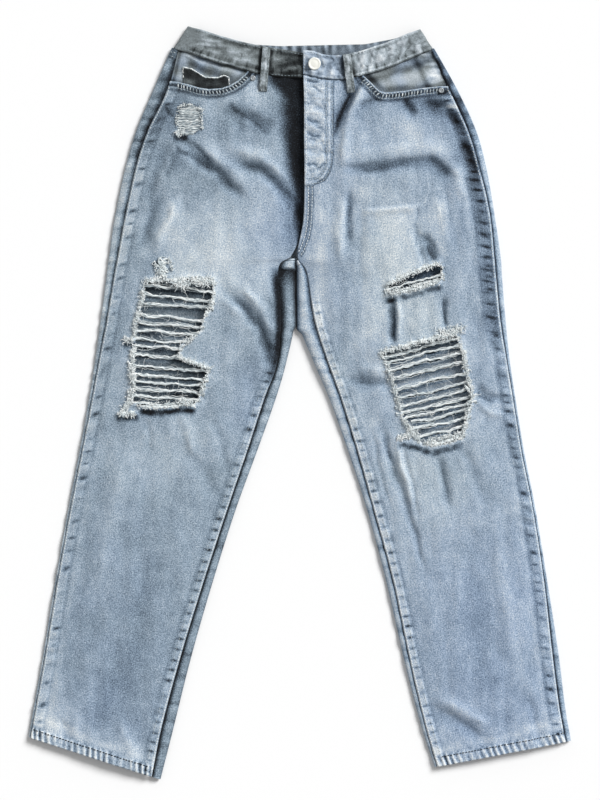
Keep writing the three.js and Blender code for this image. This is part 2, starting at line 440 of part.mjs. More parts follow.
// One cut panel, kept as three simple solids: the flat underside and the two turned edges.
function backPanel(side) {
  const gapRow = SEAM_GAP / 58;
  const slant = (v) => smooth(1 - (v - YOKE_SIDE) / 3);
  const rowAt = (across, v) => v + (yokeRow(across) - YOKE_SIDE + gapRow) * slant(v);
  const hem = (rows) => (j) => hemWall(rows[j]) - CLOTH / 2;
  const last = TURN.length - 1;
  const grid = backGrid(side, rowAt, BACK_DOWN);
  const sideTurn = cloth(side, grid.map((r) => r.slice(0, last + 2)), hem(BACK_DOWN), CLOTH / 2, { first: 0, last: 1 });
  const flatRows = BACK_DOWN.flatMap((v) => (v === APEX_ROW ? [v - 0.03, v - 0.01] : [v]));
  const flatGrid = backGrid(side, rowAt, flatRows).map((r) => {
    const p = r[last];
    return [p.clone().lerp(r[last + 1], SEAM_GAP / p.distanceTo(r[last + 1])), ...r.slice(last + 1)];
  });
  const flat = cloth(side, flatGrid, hem(flatRows), CLOTH / 2);
  const inner = (v, angle, reach) => {
    const r = side.row(v);
    const S = new THREE.Vector2(r.sideX, r.sideY), N = new THREE.Vector2(r.innerX, r.innerY);
    const d = N.clone().sub(S).normalize();
    const gap = mix(FORK_GAP, SEAM_GAP / 2, smooth((v - 6.6) / 0.6));
    const a = Math.max(reach - gap - CLOTH / 2, 1.7), b = (r.zIn - CLOTH) / 2;
    const p = N.clone().addScaledVector(d, gap + a * Math.sin(angle));
    return new THREE.Vector3(p.x, p.y, r.zIn / 2 + b * Math.cos(angle));
  };
  const turnRows = DOWN.filter((v) => v >= APEX_ROW);
  const turned = turnRows.map((v) => {
    const line = [...INNER_TURN].reverse().map((q) => inner(v, q, side.row(v).inner));
    return [line[0].clone().setX(line[0].x + side.sign * 20), ...line];
  });
  const rolled = cloth(side, turned, hem(turnRows), CLOTH / 2, { first: 1, last: 0 });
  const forkRows = DOWN.filter((v) => v >= FORK_ROW && v <= APEX_ROW + 0.7);
  const forked = forkRows.map((v) => TURN.slice(0, 4).reverse().map((q) => {
    const r = side.row(v);
    const reach = v <= APEX_ROW ? Math.abs(SEAT_X - r.innerX) - SEAM_GAP / 2 : r.inner;
    return inner(v, q, Math.max(reach, 2.6));
  }));
  const far = { x: SEAT_X - side.sign * 60, y0: 96, y1: 520 };
  const keep = SEAT_X + side.sign * SEAM_GAP / 2;
  const innerTurn = rolled.add(cloth(side, forked, CLOTH / 2, CLOTH / 2)).subtract(prism([
    { x: keep, y: far.y0 }, { x: far.x, y: far.y0 }, { x: far.x, y: far.y1 }, { x: keep, y: far.y1 },
  ], -5, 40));
  return { flat, sideTurn, innerTurn };
}

function yoke(side) {
  const grid = backGrid(side, (across, s) => yokeRow(across) * s, [0, 0.5, 1]);
  return cloth(side, grid, CLOTH / 2, CLOTH / 2);
}

// ---------- waistband ----------
function turnRows(turn, outward, zHigh, zLow, steps, fromHigh) {
  const radius = (zHigh - zLow) / 2, mid = (zHigh + zLow) / 2;
  const back = radius + BAND_WALL / 2;
  return Array.from({ length: steps }, (_, k) => {
    const angle = (k / (steps - 1)) * Math.PI;
    const reach = Math.sin(angle) * radius - back;
    const z = mid + (fromHigh ? 1 : -1) * Math.cos(angle) * radius;
    return {
      upX: turn.upX + outward.x * reach, upY: turn.upY + outward.y * reach,
      lowX: turn.lowX + outward.x * reach, lowY: turn.lowY + outward.y * reach, z,
    };
  });
}

function outwardOf(turn, sign) {
  const d = new THREE.Vector2(turn.upX - turn.lowX, turn.upY - turn.lowY).normalize();
  const n = new THREE.Vector2(-d.y, d.x);
  return n.x * sign > 0 ? n : n.negate();
}

const bandRing = [
  ...BAND_UNDER,
  ...turnRows(TURN_RIGHT, outwardOf(TURN_RIGHT, -1), 8.6, 1.3, 7, true),
  ...BAND_BACK,
  ...turnRows(TURN_LEFT, outwardOf(TURN_LEFT, 1), 8.6, 1.3, 7, false),
  ...BAND_UPPER,
];
const bandGrid = bandRing.map((r) => [1, 0.5, 0].map((t) => new THREE.Vector3(
  mix(r.lowX, r.upX, t), mix(r.lowY, r.upY, t), r.z)));

function bandTopAt(rows, x, y) {
  let best = null;
  for (let k = 0; k < rows.length - 1; k += 1) {
    const a = rows[k], b = rows[k + 1];
    for (let s = 0; s <= 20; s += 1) {
      for (let t = 0; t <= 20; t += 1) {
        const f = s / 20, g = t / 20;
        const px = mix(mix(a.lowX, a.upX, g), mix(b.lowX, b.upX, g), f);
        const py = mix(mix(a.lowY, a.upY, g), mix(b.lowY, b.upY, g), f);
        const off = Math.hypot(px - x, py - y);
        if (!best || off < best.off) best = { off, z: mix(a.z, b.z, f) + BAND_WALL / 2 };
      }
    }
  }
  return best.z;
}

function waistband() {
  let body = solidOf(wall(bandGrid, BAND_WALL / 2, BAND_WALL / 2));
  const bore = Array.from({ length: 20 }, (_, k) => ({
    x: BUTTON.x + Math.cos((k / 10) * Math.PI) * BUTTON.hole / 2,
    y: BUTTON.y + Math.sin((k / 10) * Math.PI) * BUTTON.hole / 2,
  }));
  const dx = BUTTONHOLE.endX - BUTTON.x, dy = BUTTONHOLE.endY - BUTTON.y, run = Math.hypot(dx, dy);
  const nx = (-dy / run) * BUTTONHOLE.wide / 2, ny = (dx / run) * BUTTONHOLE.wide / 2;
  const slot = [
    { x: BUTTON.x + nx, y: BUTTON.y + ny }, { x: BUTTON.x - nx, y: BUTTON.y - ny },
    { x: BUTTONHOLE.endX - nx, y: BUTTONHOLE.endY - ny }, { x: BUTTONHOLE.endX + nx, y: BUTTONHOLE.endY + ny },
  ];
  return body.subtract(prism(bore, 12, 40)).subtract(prism(slot, 12, 40));
}

// ---------- pocket facings, coin pocket, loops, metal ----------
function facingPiece(side, mouth, drop) {
  // made from the panel's own points, moved in
  const down = [0, 0.25, 0.5, 0.75, 1], across = [0, 0.1, 0.22, 0.36, 0.5, 0.62, 0.74, 0.86, 1];
  const inner = mouth[mouth.length - 1];
  const uEnd = side.locate(inner.x - side.sign * 10, inner.y - 12).u;
  const grid = down.map((s) => across.map((a) => {
    const u = mix(0.012, uEnd, a);
    const top = side.front(u, 0);
    const edgeX = clamp(top.x, Math.min(mouth[0].x, inner.x), Math.max(mouth[0].x, inner.x));
    const low = heightAt(mouth, edgeX) - FACING_DEPTH;
    const vLow = side.locate(top.x, low).v;
    return side.front(u, mix(0.004, vLow, s));
  }));
  return cloth(side, grid, -drop, drop + CLOTH);
}

function coinPocket(side, drop) {
  const down = [0, 0.3, 0.65, 1], across = [0, 0.2, 0.4, 0.6, 0.8, 1];
  const grid = down.map((s) => across.map((a) => {
    const x = mix(COIN.left, COIN.right, a);
    const y = mix(COIN.top + (x - COIN.left) * COIN.slope, COIN.bottom, s);
    const q = side.locate(x, y);
    return side.front(q.u, q.v);
  }));
  return cloth(side, grid, -drop, drop + CLOTH);
}

const LOOP_LINE = [
  { t: 0, lift: 0 }, { t: 0.04, lift: 0.6 }, { t: 0.09, lift: 1 }, { t: 0.25, lift: 1 }, { t: 0.45, lift: 1 },
  { t: 0.65, lift: 1 }, { t: 0.8, lift: 1 }, { t: 0.88, lift: 0.6 }, { t: 0.94, lift: 0.2 }, { t: 1, lift: 0 },
];
function beltLoop(side, at, rows) {
  const dx = at.endX - at.topX, dy = at.endY - at.topY, len = Math.hypot(dx, dy);
  const wx = -dy / len, wy = dx / len;
  const bandEnd = heightAt(side.sign > 0 ? WAIST_LEFT : WAIST_RIGHT, at.endX);
  const bases = LOOP_LINE.map(({ t }) => {
    const y = mix(at.topY, at.endY, t);
    return Math.max(...[-0.5, 0, 0.5].map((o) => {
      const px = mix(at.topX, at.endX, t) + wx * o * LOOP.wide, py = y + wy * o * LOOP.wide;
      return py > bandEnd - 3 ? bandTopAt(rows, px, py) : side.topAt(px, py);
    }));
  });
  const grid = LOOP_LINE.map(({ t, lift }, k) => [-0.5, -0.17, 0.17, 0.5].map((o) => new THREE.Vector3(
    mix(at.topX, at.endX, t) + wx * o * LOOP.wide,
    mix(at.topY, at.endY, t) + wy * o * LOOP.wide,
    bases[k] + SEAM_GAP + 0.35 + lift * LOOP.stand,
  )));
  return solidOf(wall(grid, 0, LOOP_WALL));
}

function button() {
  const under = bandTopAt(BAND_UNDER, BUTTON.x, BUTTON.y) + SEAM_GAP;
  const over = bandTopAt(BAND_UPPER, BUTTON.x, BUTTON.y) + SEAM_GAP;
  const rise = over - under, R = BUTTON.head / 2;
  return lathe([
    { r: 0, z: 0 }, { r: BUTTON.shank / 2, z: 0 }, { r: BUTTON.shank / 2, z: rise }, { r: R - 0.6, z: rise },
    { r: R, z: rise + 0.8 }, { r: R, z: rise + 2.0 }, { r: R - 0.7, z: rise + 3.0 }, { r: R - 1.9, z: rise + 3.1 },
    { r: R - 2.6, z: rise + 2.5 }, { r: 2.2, z: rise + 2.6 }, { r: 0, z: rise + 2.7 },
  ], 20, BUTTON.x, BUTTON.y, under);
}

function rivet(side, at) {
  const R = RIVET.ring / 2;
  let base = 0;
  for (let k = 0; k < 12; k += 1) {
    const q = (k / 6) * Math.PI;
    base = Math.max(base, side.topAt(at.x + R * Math.cos(q), at.y + R * Math.sin(q)));
  }
  return lathe([
    { r: 0, z: 0 }, { r: R, z: 0 }, { r: R, z: 0.7 }, { r: R - 0.7, z: RIVET.rise },
    { r: RIVET.bore / 2 + 0.4, z: RIVET.rise }, { r: RIVET.bore / 2, z: 0.6 }, { r: 0, z: 0.5 },
  ], 12, at.x, at.y, base + SEAM_GAP);
}

// ---------- group ----------
const DENIM = { color: 0x9aa8bb, roughness: 0.92, metalness: 0 };
const DENIM_BACK = { color: 0x8797b0, roughness: 0.92, metalness: 0 };
const DENIM_BAND = { color: 0x8b95a3, roughness: 0.92, metalness: 0 };
const DENIM_PALE = { color: 0xb4bac2, roughness: 0.92, metalness: 0 };
const DENIM_DARK = { color: 0x3d4654, roughness: 0.92, metalness: 0 };
const METAL = { color: 0xc9c6bd, roughness: 0.38, metalness: 0.9 };

const jeans = new THREE.Group();
jeans.name = 'ripped_jeans';
function add(name, body, look) {
  const m = body.getMesh();
  const g = new THREE.BufferGeometry();
  const pos = new Float32Array(m.numVert * 3);
  for (let k = 0; k < m.numVert; k += 1) for (let c = 0; c < 3; c += 1) pos[k * 3 + c] = m.vertProperties[k * m.numProp + c];
  g.setAttribute('position', new THREE.BufferAttribute(pos, 3));
  g.setIndex(new THREE.BufferAttribute(Uint32Array.from(m.triVerts), 1));
  g.computeVertexNormals();
  const mesh = new THREE.Mesh(g, new THREE.MeshStandardMaterial(look));
  mesh.name = name;
  jeans.add(mesh);
}

add('front_right', frontPanel(RIGHT, MOUTH_RIGHT, SLITS_RIGHT), DENIM);
add('front_left', frontPanel(LEFT, MOUTH_LEFT, SLITS_LEFT), DENIM);
for (const [name, side] of [['back_right', RIGHT], ['back_left', LEFT]]) {
  const panel = backPanel(side);
  add(name, panel.flat, DENIM_BACK);
  add(`${name}_side_turn`, panel.sideTurn, DENIM_BACK);
  add(`${name}_inseam_turn`, panel.innerTurn, DENIM_BACK);
}
add('yoke_right', yoke(RIGHT), DENIM_BACK);
add('yoke_left', yoke(LEFT), DENIM_BACK);
add('waistband', waistband(), DENIM_BAND);
add('facing_right', facingPiece(RIGHT, MOUTH_RIGHT, 2 * CLOTH + 4 * SEAM_GAP), DENIM_PALE);
add('facing_left', facingPiece(LEFT, MOUTH_LEFT, CLOTH + 4 * SEAM_GAP), DENIM_PALE);
add('coin_pocket', coinPocket(RIGHT, CLOTH + 2 * SEAM_GAP), DENIM_DARK);
add('loop_right', beltLoop(RIGHT, LOOP_AT.right, BAND_UNDER), DENIM_BAND);
add('loop_left', beltLoop(LEFT, LOOP_AT.left, BAND_UPPER), DENIM_BAND);
add('button', button(), METAL);
add('rivet_right', rivet(RIGHT, RIVET_AT.right), METAL);
add('rivet_left', rivet(LEFT, RIVET_AT.left), METAL);

export default jeans;
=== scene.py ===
import math

import bpy
import numpy as np
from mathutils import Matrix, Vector
from mathutils.bvhtree import BVHTree


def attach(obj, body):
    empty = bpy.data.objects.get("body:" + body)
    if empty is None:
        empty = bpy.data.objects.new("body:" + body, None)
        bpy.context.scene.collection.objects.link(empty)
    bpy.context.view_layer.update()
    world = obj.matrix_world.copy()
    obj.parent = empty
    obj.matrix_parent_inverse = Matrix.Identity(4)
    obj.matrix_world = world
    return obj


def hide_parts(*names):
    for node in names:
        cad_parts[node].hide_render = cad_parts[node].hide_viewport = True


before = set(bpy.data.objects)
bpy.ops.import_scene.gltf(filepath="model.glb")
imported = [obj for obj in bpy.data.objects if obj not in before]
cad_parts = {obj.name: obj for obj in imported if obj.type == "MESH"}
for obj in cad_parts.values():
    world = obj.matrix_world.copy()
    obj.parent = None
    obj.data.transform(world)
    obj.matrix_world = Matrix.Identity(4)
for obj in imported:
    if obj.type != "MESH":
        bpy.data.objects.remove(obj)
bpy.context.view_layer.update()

# Ripped jeans lying flat on their back. The sizes below are millimetres in the CAD
# frame and are scaled to metres when a mesh is made. Points written P(a, b) are in
# plan units of 1.35 mm, counted right and down from the plan's corner.
MM = 0.001
UNIT = 1.35
rng = np.random.default_rng(7)

SEAT_X = -5.0
APEX_ROW = 7.2
FORK_ROW = 5.3
LAST_ROW = 15.0
YOKE_SIDE, YOKE_SEAT = 0.24, 1.15

COLUMNS = ("sideX", "sideY", "outer", "innerX", "innerY", "inner", "zSide", "zMid", "zIn")
ROWS_RIGHT = [
    (-164.5, 476.0, 9.0, 12.0, 438.0, 6.0, 9.6, 12.0, 10.4),
    (-180.0, 418.0, 19.0, 12.5, 401.5, 6.0, 10.0, 14.5, 9.6),
    (-204.5, 368.0, 16.0, 12.5, 354.5, 6.0, 9.6, 16.5, 10.2),
    (-220.0, 323.5, 14.0, 12.0, 300.5, 6.0, 9.2, 17.0, 11.0),
    (-235.0, 257.0, 14.0, 8.0, 246.5, 6.0, 8.6, 16.5, 11.0),
    (-247.0, 192.5, 12.0, -11.0, 199.5, 6.0, 8.2, 15.5, 9.6),
    (-251.0, 172.0, 10.5, -29.0, 181.5, 20.0, 8.0, 15.0, 8.6),
    (-261.0, 111.5, 8.5, -25.5, 117.0, 19.5, 7.6, 14.0, 8.4),
    (-271.5, 57.5, 5.5, -30.5, 54.5, 12.0, 7.2, 13.2, 8.2),
    (-281.5, 3.5, 4.0, -48.5, 4.5, 15.5, 6.8, 12.6, 8.0),
    (-295.0, -67.0, 3.5, -72.0, -67.0, 13.5, 6.6, 12.2, 7.8),
    (-310.0, -142.5, 3.0, -98.5, -145.0, 11.5, 6.4, 11.8, 7.6),
    (-327.5, -239.5, 3.0, -130.5, -242.5, 12.5, 6.4, 11.4, 7.6),
    (-344.0, -339.5, 3.0, -161.5, -343.5, 14.5, 6.4, 11.2, 7.6),
    (-357.5, -415.0, 3.0, -186.5, -436.5, 16.0, 6.6, 11.2, 7.8),
    (-364.0, -453.0, 3.0, -200.5, -505.5, 12.5, 7.0, 11.4, 8.0),
]
ROWS_LEFT = [
    (177.0, 476.0, 4.5, 4.5, 441.5, 6.0, 9.6, 13.0, 14.6),
    (202.0, 419.0, 11.5, 5.5, 401.5, 6.0, 10.0, 16.0, 15.0),
    (226.0, 368.0, 11.5, 5.5, 354.5, 6.0, 9.6, 17.2, 14.6),
    (241.0, 320.5, 10.0, 6.0, 300.5, 6.0, 9.2, 17.2, 14.2),
    (256.0, 257.0, 6.5, 4.5, 246.5, 6.0, 8.6, 16.5, 13.4),
    (262.5, 195.0, 9.0, -3.5, 198.5, 6.0, 8.2, 15.5, 12.0),
    (264.5, 172.0, 8.5, 9.0, 175.0, 12.0, 8.0, 15.0, 9.4),
    (270.5, 111.5, 7.5, 19.5, 111.5, 22.0, 7.6, 14.0, 8.6),
    (279.0, 57.5, 4.5, 36.5, 57.5, 19.0, 7.2, 13.2, 8.2),
    (288.0, 3.5, 3.5, 56.0, 3.5, 15.5, 6.8, 12.6, 8.0),
    (299.5, -67.0, 3.5, 78.0, -67.0, 12.5, 6.6, 12.2, 7.8),
    (314.5, -142.5, 3.5, 99.0, -142.5, 9.0, 6.4, 11.8, 7.6),
    (329.5, -239.5, 4.5, 125.5, -239.5, 9.5, 6.4, 11.4, 7.4),
    (341.0, -339.5, 8.5, 147.0, -342.0, 7.5, 6.4, 11.2, 7.2),
    (350.5, -412.5, 8.0, 168.0, -431.5, 5.5, 6.6, 11.2, 7.0),
    (359.0, -458.5, 7.5, 185.5, -492.0, 3.5, 7.0, 11.4, 7.0),
]
WAIST_RIGHT = [(-164.5, 476.5), (-151, 472.5), (-123, 461.5), (-94.5, 453.5), (-61, 444.5), (-42, 440.5), (-15.5, 438.5), (12, 437.5)]
WAIST_LEFT = [(4.5, 442.0), (13.5, 439.8), (37.5, 435.5), (56.5, 434.0), (73, 438.5), (96.5, 444.5), (129.5, 455.5), (158, 468), (177, 476.5)]
WAIST_BACK = [(-172, 479.5), (-125, 462), (-70, 450.5), (-27, 448), (40, 449.5), (91, 451), (136, 460), (181, 478)]

# Creases: plan line, half widths to the left and right of its direction, rise.
CREASES_RIGHT = [
    (((292, 84), (292, 140), (293, 190), (290, 240)), 12, 17, -2.0),
    (((197, 160), (216, 173), (236, 194)), 9, 7, -2.6),
    (((206, 151), (228, 166), (246, 190)), 9, 9, 1.0),
    (((184, 141), (200, 156), (215, 167)), 7, 7, -1.5),
    (((239, 164), (262, 172), (283, 192), (299, 214)), 10, 8, -2.6),
    (((238, 150), (262, 158), (286, 178)), 8, 8, 1.3),
    (((245, 113), (258, 121), (272, 126)), 8, 9, -1.8),
    (((228, 108), (243, 130)), 10, 10, -1.1),
    (((232, 298), (247, 311), (259, 327), (267, 346), (269, 362)), 8, 7, -2.8),
    (((245, 290), (262, 310), (274, 334)), 9, 9, 1.4),
    (((156, 247), (166, 226), (175, 207)), 10, 8, 1.8),
    (((141, 246), (152, 219), (160, 196)), 9, 9, -1.5),
    (((165, 150), (157, 172), (150, 196)), 7, 9, -1.5),
    (((206, 292), (226, 300), (240, 312)), 9, 9, 0.9),
    (((170, 440), (196, 462), (214, 492)), 12, 14, -0.9),
    (((120, 470), (112, 520), (100, 575)), 14, 14, 0.9),
    (((150, 560), (142, 620), (128, 676)), 16, 18, -0.8),
    (((92, 640), (84, 690), (74, 740)), 13, 13, 0.7),
    (((120, 720), (128, 744), (136, 770)), 9, 9, 1.0),
    (((62, 722), (70, 742), (76, 752)), 8, 8, -0.9),
    (((213, 420), (222, 440), (226, 470)), 9, 9, -0.8),
    (((146, 420), (150, 436), (149, 452)), 7, 7, -0.8),
    (((182, 414), (189, 430), (192, 452)), 7, 7, 0.9),
]
CREASES_LEFT = [
    (((360, 82), (349, 100), (341, 114), (337, 126)), 6, 11, -3.6),
    (((364, 84), (353, 106), (345, 130), (342, 160)), 11, 7, 2.0),
    (((350, 196), (348, 220), (350, 247)), 7, 6, -1.3),
    (((341, 206), (339, 230), (341, 256)), 8, 8, 1.1),
    (((366, 212), (392, 210), (417, 207)), 4, 7, 0.9),
    (((362, 214), (360, 250), (362, 290)), 6, 6, -0.7),
    (((424, 236), (430, 246), (435, 258)), 7, 7, -2.4),
    (((414, 226), (420, 246), (424, 262)), 7, 7, -1.2),
    (((391, 300), (392, 320), (393, 341)), 6, 4, -3.0),
    (((398, 298), (399, 318), (399, 338)), 5, 7, 1.4),
    (((444, 300), (444, 326)), 6, 5, -1.7),
    (((352, 169), (384, 166), (412, 162), (431, 161), (448, 174)), 8, 11, -2.4),
    (((358, 153), (396, 150), (426, 146), (450, 157)), 9, 9, 0.6),
    (((404, 102), (408, 108), (413, 116)), 7, 7, -2.0),
    (((424, 104), (442, 108), (455, 116), (467, 134)), 9, 12, -3.2),
    (((361, 106), (369, 102), (379, 101)), 5, 7, -1.6),
    (((462, 144), (470, 157), (478, 176)), 8, 8, -2.6),
    (((446, 160), (458, 176), (462, 196)), 9, 9, 1.0),
    (((442, 185), (452, 214), (457, 250)), 10, 10, -0.5),
    (((472, 250), (474, 300), (478, 350)), 9, 11, -0.6),
    (((384, 433), (390, 461), (401, 491), (411, 521), (421, 557)), 6, 7, -1.5),
    (((404, 452), (410, 480), (417, 512)), 4, 5, -0.9),
    (((374, 440), (380, 470), (388, 500)), 4, 5, -0.7),
    (((394, 436), (402, 466), (413, 500)), 7, 8, 1.3),
    (((439, 459), (445, 482), (449, 505)), 8, 8, -1.6),
    (((352, 380), (371, 383), (391, 383)), 8, 9, -1.6),
    (((360, 368), (378, 371)), 8, 8, 0.8),
    (((478, 388), (486, 396), (500, 398)), 6, 7, -1.6),
    (((480, 404), (490, 412), (503, 414)), 6, 7, 0.9),
    (((433, 709), (450, 718), (468, 727), (482, 742)), 9, 15, -1.5),
    (((446, 702), (466, 712), (486, 724)), 8, 8, 1.2),
    (((500, 560), (510, 620), (520, 680)), 15, 15, 0.9),
    (((470, 560), (480, 620), (484, 676)), 15, 16, -0.8),
    (((530, 700), (536, 726), (542, 744)), 9, 9, -0.9),
    (((462, 446), (472, 470), (486, 500)), 11, 11, -1.0),
]

# Fades of the wash, with painted light and painted shade of the folds, seams and pocket edges among them: centre, half
# widths, change of tone.
FADES_LIGHT_AND_SHADE_RIGHT = [
    (214, 240, 58, 50, 0.125), (200, 268, 60, 28, 0.050), (232, 330, 34, 62, 0.060), (160, 446, 52, 42, 0.085),
    (150, 180, 24, 60, -0.045), (262, 120, 34, 40, -0.015), (255, 98, 9, 13, 0.13), (236, 110, 11, 6, -0.13), (260, 130, 9, 5, -0.06), (274, 152, 12, 14, 0.06), (250, 152, 30, 8, 0.03), (262, 215, 24, 22, 0.02),
    (210, 178, 30, 18, -0.045), (218, 150, 16, 12, 0.05), (228, 325, 20, 32, -0.05), (152, 215, 12, 28, 0.04), (176, 162, 6, 14, -0.08), (154, 226, 9, 34, -0.06), (172, 226, 9, 30, 0.06), (120, 560, 60, 120, -0.020), (100, 700, 60, 70, -0.050), (270, 200, 20, 40, 0.03),
    (172, 110, 14, 16, -0.07), (262, 340, 14, 46, -0.055), (58, 722, 22, 22, 0.11), (53, 640, 11, 60, 0.06), (48, 705, 14, 26, 0.05), (84, 736, 40, 9, 0.05), (120, 752, 44, 10, 0.06),
]
FADES_LIGHT_AND_SHADE_LEFT = [
    (392, 268, 40, 66, 0.060), (345, 290, 12, 34, -0.05), (390, 189, 30, 12, 0.03), (376, 316, 14, 26, -0.04), (420, 316, 28, 26, 0.065), (425, 484, 44, 60, 0.055), (350, 330, 26, 120, 0.030),
    (400, 130, 40, 26, 0.020), (470, 250, 26, 90, 0.015), (490, 330, 16, 120, -0.015), (322, 130, 20, 60, 0.045),
    (440, 112, 40, 12, -0.13), (396, 166, 46, 9, -0.075), (372, 96, 10, 14, -0.10), (466, 160, 14, 26, -0.06), (345, 118, 8, 24, -0.10), (352, 250, 12, 50, -0.030), (480, 640, 60, 110, -0.030), (490, 700, 50, 40, -0.045), (410, 130, 30, 22, 0.05), (456, 138, 15, 32, -0.12), (434, 254, 8, 12, -0.08), (321, 216, 6, 12, 0.10), (321, 254, 5, 14, 0.09), (320, 302, 5, 22, 0.12), (319, 232, 5, 7, -0.06), (442, 150, 10, 8, 0.13), (442, 171, 9, 6, -0.10), (457, 172, 5, 7, 0.10), (436, 216, 14, 16, 0.10), (362, 192, 10, 8, 0.08), (330, 108, 5, 16, 0.08), (357, 112, 5, 8, -0.07), (440, 250, 5, 9, 0.12),
    (448, 722, 26, 20, 0.06), (476, 702, 46, 12, 0.02), (320, 240, 16, 50, 0.030), (414, 102, 26, 6, -0.08), (345, 86, 4, 8, -0.16),
]
# Where the wash is bluer: base, then centre, half widths, change.
WASH = {
    "right": (0.15, [(282, 226, 34, 44, 0.65), (232, 150, 40, 24, 0.15), (250, 400, 24, 40, 0.40), (110, 610, 70, 90, 0.25), (100, 720, 60, 50, 0.40)]),
    "left": (0.55, [(388, 262, 36, 80, -0.55), (425, 320, 30, 50, -0.45), (428, 470, 50, 50, -0.50), (495, 610, 70, 80, 0.40), (495, 720, 60, 50, 0.45), (335, 390, 26, 50, -0.45)]),
}
J_OUTER = ((332, 83), (332, 150), (331, 164), (329, 172), (324, 180), (318, 183), (307, 184.5))
J_INNER = ((326.5, 82), (326.5, 150), (326, 166), (321, 175), (316, 179), (307, 180.5))
CROTCH_A = ((308, 186), (308.4, 200), (307.6, 221), (305, 236), (299.6, 250), (296, 255))
CROTCH_B = ((312, 186), (312.2, 200), (311.2, 221), (308.6, 238), (303, 252), (300, 257))
SUNK = {"right": [], "left": [J_OUTER, J_INNER, CROTCH_A, CROTCH_B]}
CREASE_GAIN = 2.2
BASE_TONE = {"right": 0.585, "left": 0.630}

# Rip outlines on the plan.
RIP_RIGHT = [
    (146, 282), (165, 281), (190, 279), (213, 281), (213, 293), (212, 307), (203, 318), (201, 330), (195, 335),
    (186, 339), (180, 346), (179, 357), (195, 363), (208, 368), (207, 375), (205, 383), (199, 397), (193, 405),
    (175, 407), (155, 408), (141, 407), (134, 403), (131, 397), (134, 386), (135, 378), (133, 360), (136, 347),
    (135, 331), (139, 318), (141, 305), (143, 295),
]
SLIT_LEFT = [(386, 285), (405, 276), (425, 267), (437, 264), (442, 267), (441, 280), (430, 285), (412, 291), (392, 294), (388, 291)]
RIP_LEFT = [
    (381, 353), (400, 347), (420, 342), (440, 337), (455, 334), (460, 345), (464, 359), (463, 372), (470, 385),
    (473, 398), (468, 412), (465, 426), (461, 438), (448, 443), (430, 446), (420, 441), (416, 432), (404, 420),
    (400, 408), (396, 392), (390, 376), (386, 362),
]
# Edges of the rips that stand up: plan line, rise, shade below.
FLAPS = {
    "right": [
        (((140, 408), (156, 409.5), (172, 408.5), (181, 406.5), (195, 408)), 3.2, 0.62), (((117, 416), (127, 415), (138, 414)), 2.6, 0.40),
        (((180, 358.5), (194, 366), (209, 371)), 2.2, 0.0), (((171, 279), (190, 278), (214, 281)), 1.6, 0.0), (((174, 135), (180, 136), (187, 134)), 1.8, 0.42),
        (((124, 341), (130, 342), (135, 340)), 2.0, 0.30),
    ],
    "left": [
        (((385, 297), (395, 296), (412, 292), (441, 284)), 2.8, 0.38), (((398, 443), (410, 443), (420, 446), (432, 450), (461, 442)), 2.8, 0.40),
        (((386, 284), (412, 272), (440, 262)), 1.8, 0.0), (((380, 351), (420, 340), (457, 331)), 1.6, 0.0),
    ],
}
# Threads left across the rips: start, end, thickness of the bundle.
STRANDS_RIGHT = [
    ((145, 286), (214, 292), 1.5), ((145, 294), (213, 302), 1.5), ((140, 304), (212, 308), 1.6), ((140, 314), (202, 321), 1.4),
    ((135, 322), (202, 328), 1.6), ((135, 330), (196, 335), 1.5), ((133, 338), (186, 342), 1.4), ((134, 346), (181, 349), 1.4),
    ((132, 354), (181, 358), 1.7), ((178, 357), (210, 368), 2.2), ((134, 366), (208, 371), 1.6), ((135, 375), (207, 380), 1.4),
    ((134, 381), (204, 386), 1.2), ((134, 388), (203, 394), 1.6), ((131, 396), (198, 400), 1.3), ((130, 402), (194, 407), 1.6),
]
STRANDS_LEFT = [
    ((386, 290), (442, 275), 0.8), ((387, 293), (443, 279), 1.2), ((384, 357), (458, 338), 1.5), ((386, 363), (460, 345), 1.2),
    ((388, 371), (465, 352), 1.6), ((389, 380), (466, 361), 1.5), ((395, 391), (464, 373), 1.6), ((396, 399), (470, 382), 1.2),
    ((397, 407), (472, 388), 1.5), ((398, 414), (476, 396), 1.6), ((404, 419), (475, 402), 1.2), ((413, 422), (469, 410), 1.4),
    ((414, 429), (469, 417), 1.4), ((417, 437), (466, 426), 1.3), ((425, 443), (463, 436), 1.4),
]
MOUTH_RIGHT = [(159, 80), (177.5, 82), (188, 84.6), (199, 88), (209, 89.6), (222, 88.5), (230, 85.7), (238.6, 80.4), (246, 73.4), (251, 67)]
MOUTH_LEFT = [(459, 86), (438, 86.6), (421, 88.5), (403, 91.4), (385, 93.0), (379, 91), (371, 83), (364, 76.5), (359, 70)]


# ---------------------------------------------------------------- plain helpers
def P(a, b):
    return np.array([(a - 300.0) * UNIT, (402.5 - b) * UNIT])


def plan(points):
    return np.array([P(*p) for p in points])


def mix(a, b, t):
    return a + (b - a) * t


def smooth(t):
    t = np.clip(t, 0.0, 1.0)
    return t * t * (3.0 - 2.0 * t)


def spline(values, at):
    col = np.asarray(values, float)
    last = len(col) - 1
    at = np.asarray(at, float)
    i = np.clip(np.floor(at).astype(int), 0, last - 1)
    t = np.clip(at - i, 0.0, 1.0)
    ext = np.concatenate([[2 * col[0] - col[1]], col, [2 * col[-1] - col[-2]]])
    p0, p1, p2, p3 = ext[i], ext[i + 1], ext[i + 2], ext[i + 3]
    return 0.5 * (2 * p1 + (p2 - p0) * t + (2 * p0 - 5 * p1 + 4 * p2 - p3) * t ** 2 + (3 * p1 - p0 - 3 * p2 + p3) * t ** 3)


def height_at(table, x):
    t = np.array(sorted(table))
    i = np.clip(np.searchsorted(t[:, 0], x) - 1, 0, len(t) - 2)
    f = np.clip((x - t[i, 0]) / (t[i + 1, 0] - t[i, 0]), 0, 1)
    return spline(t[:, 1], i + f)


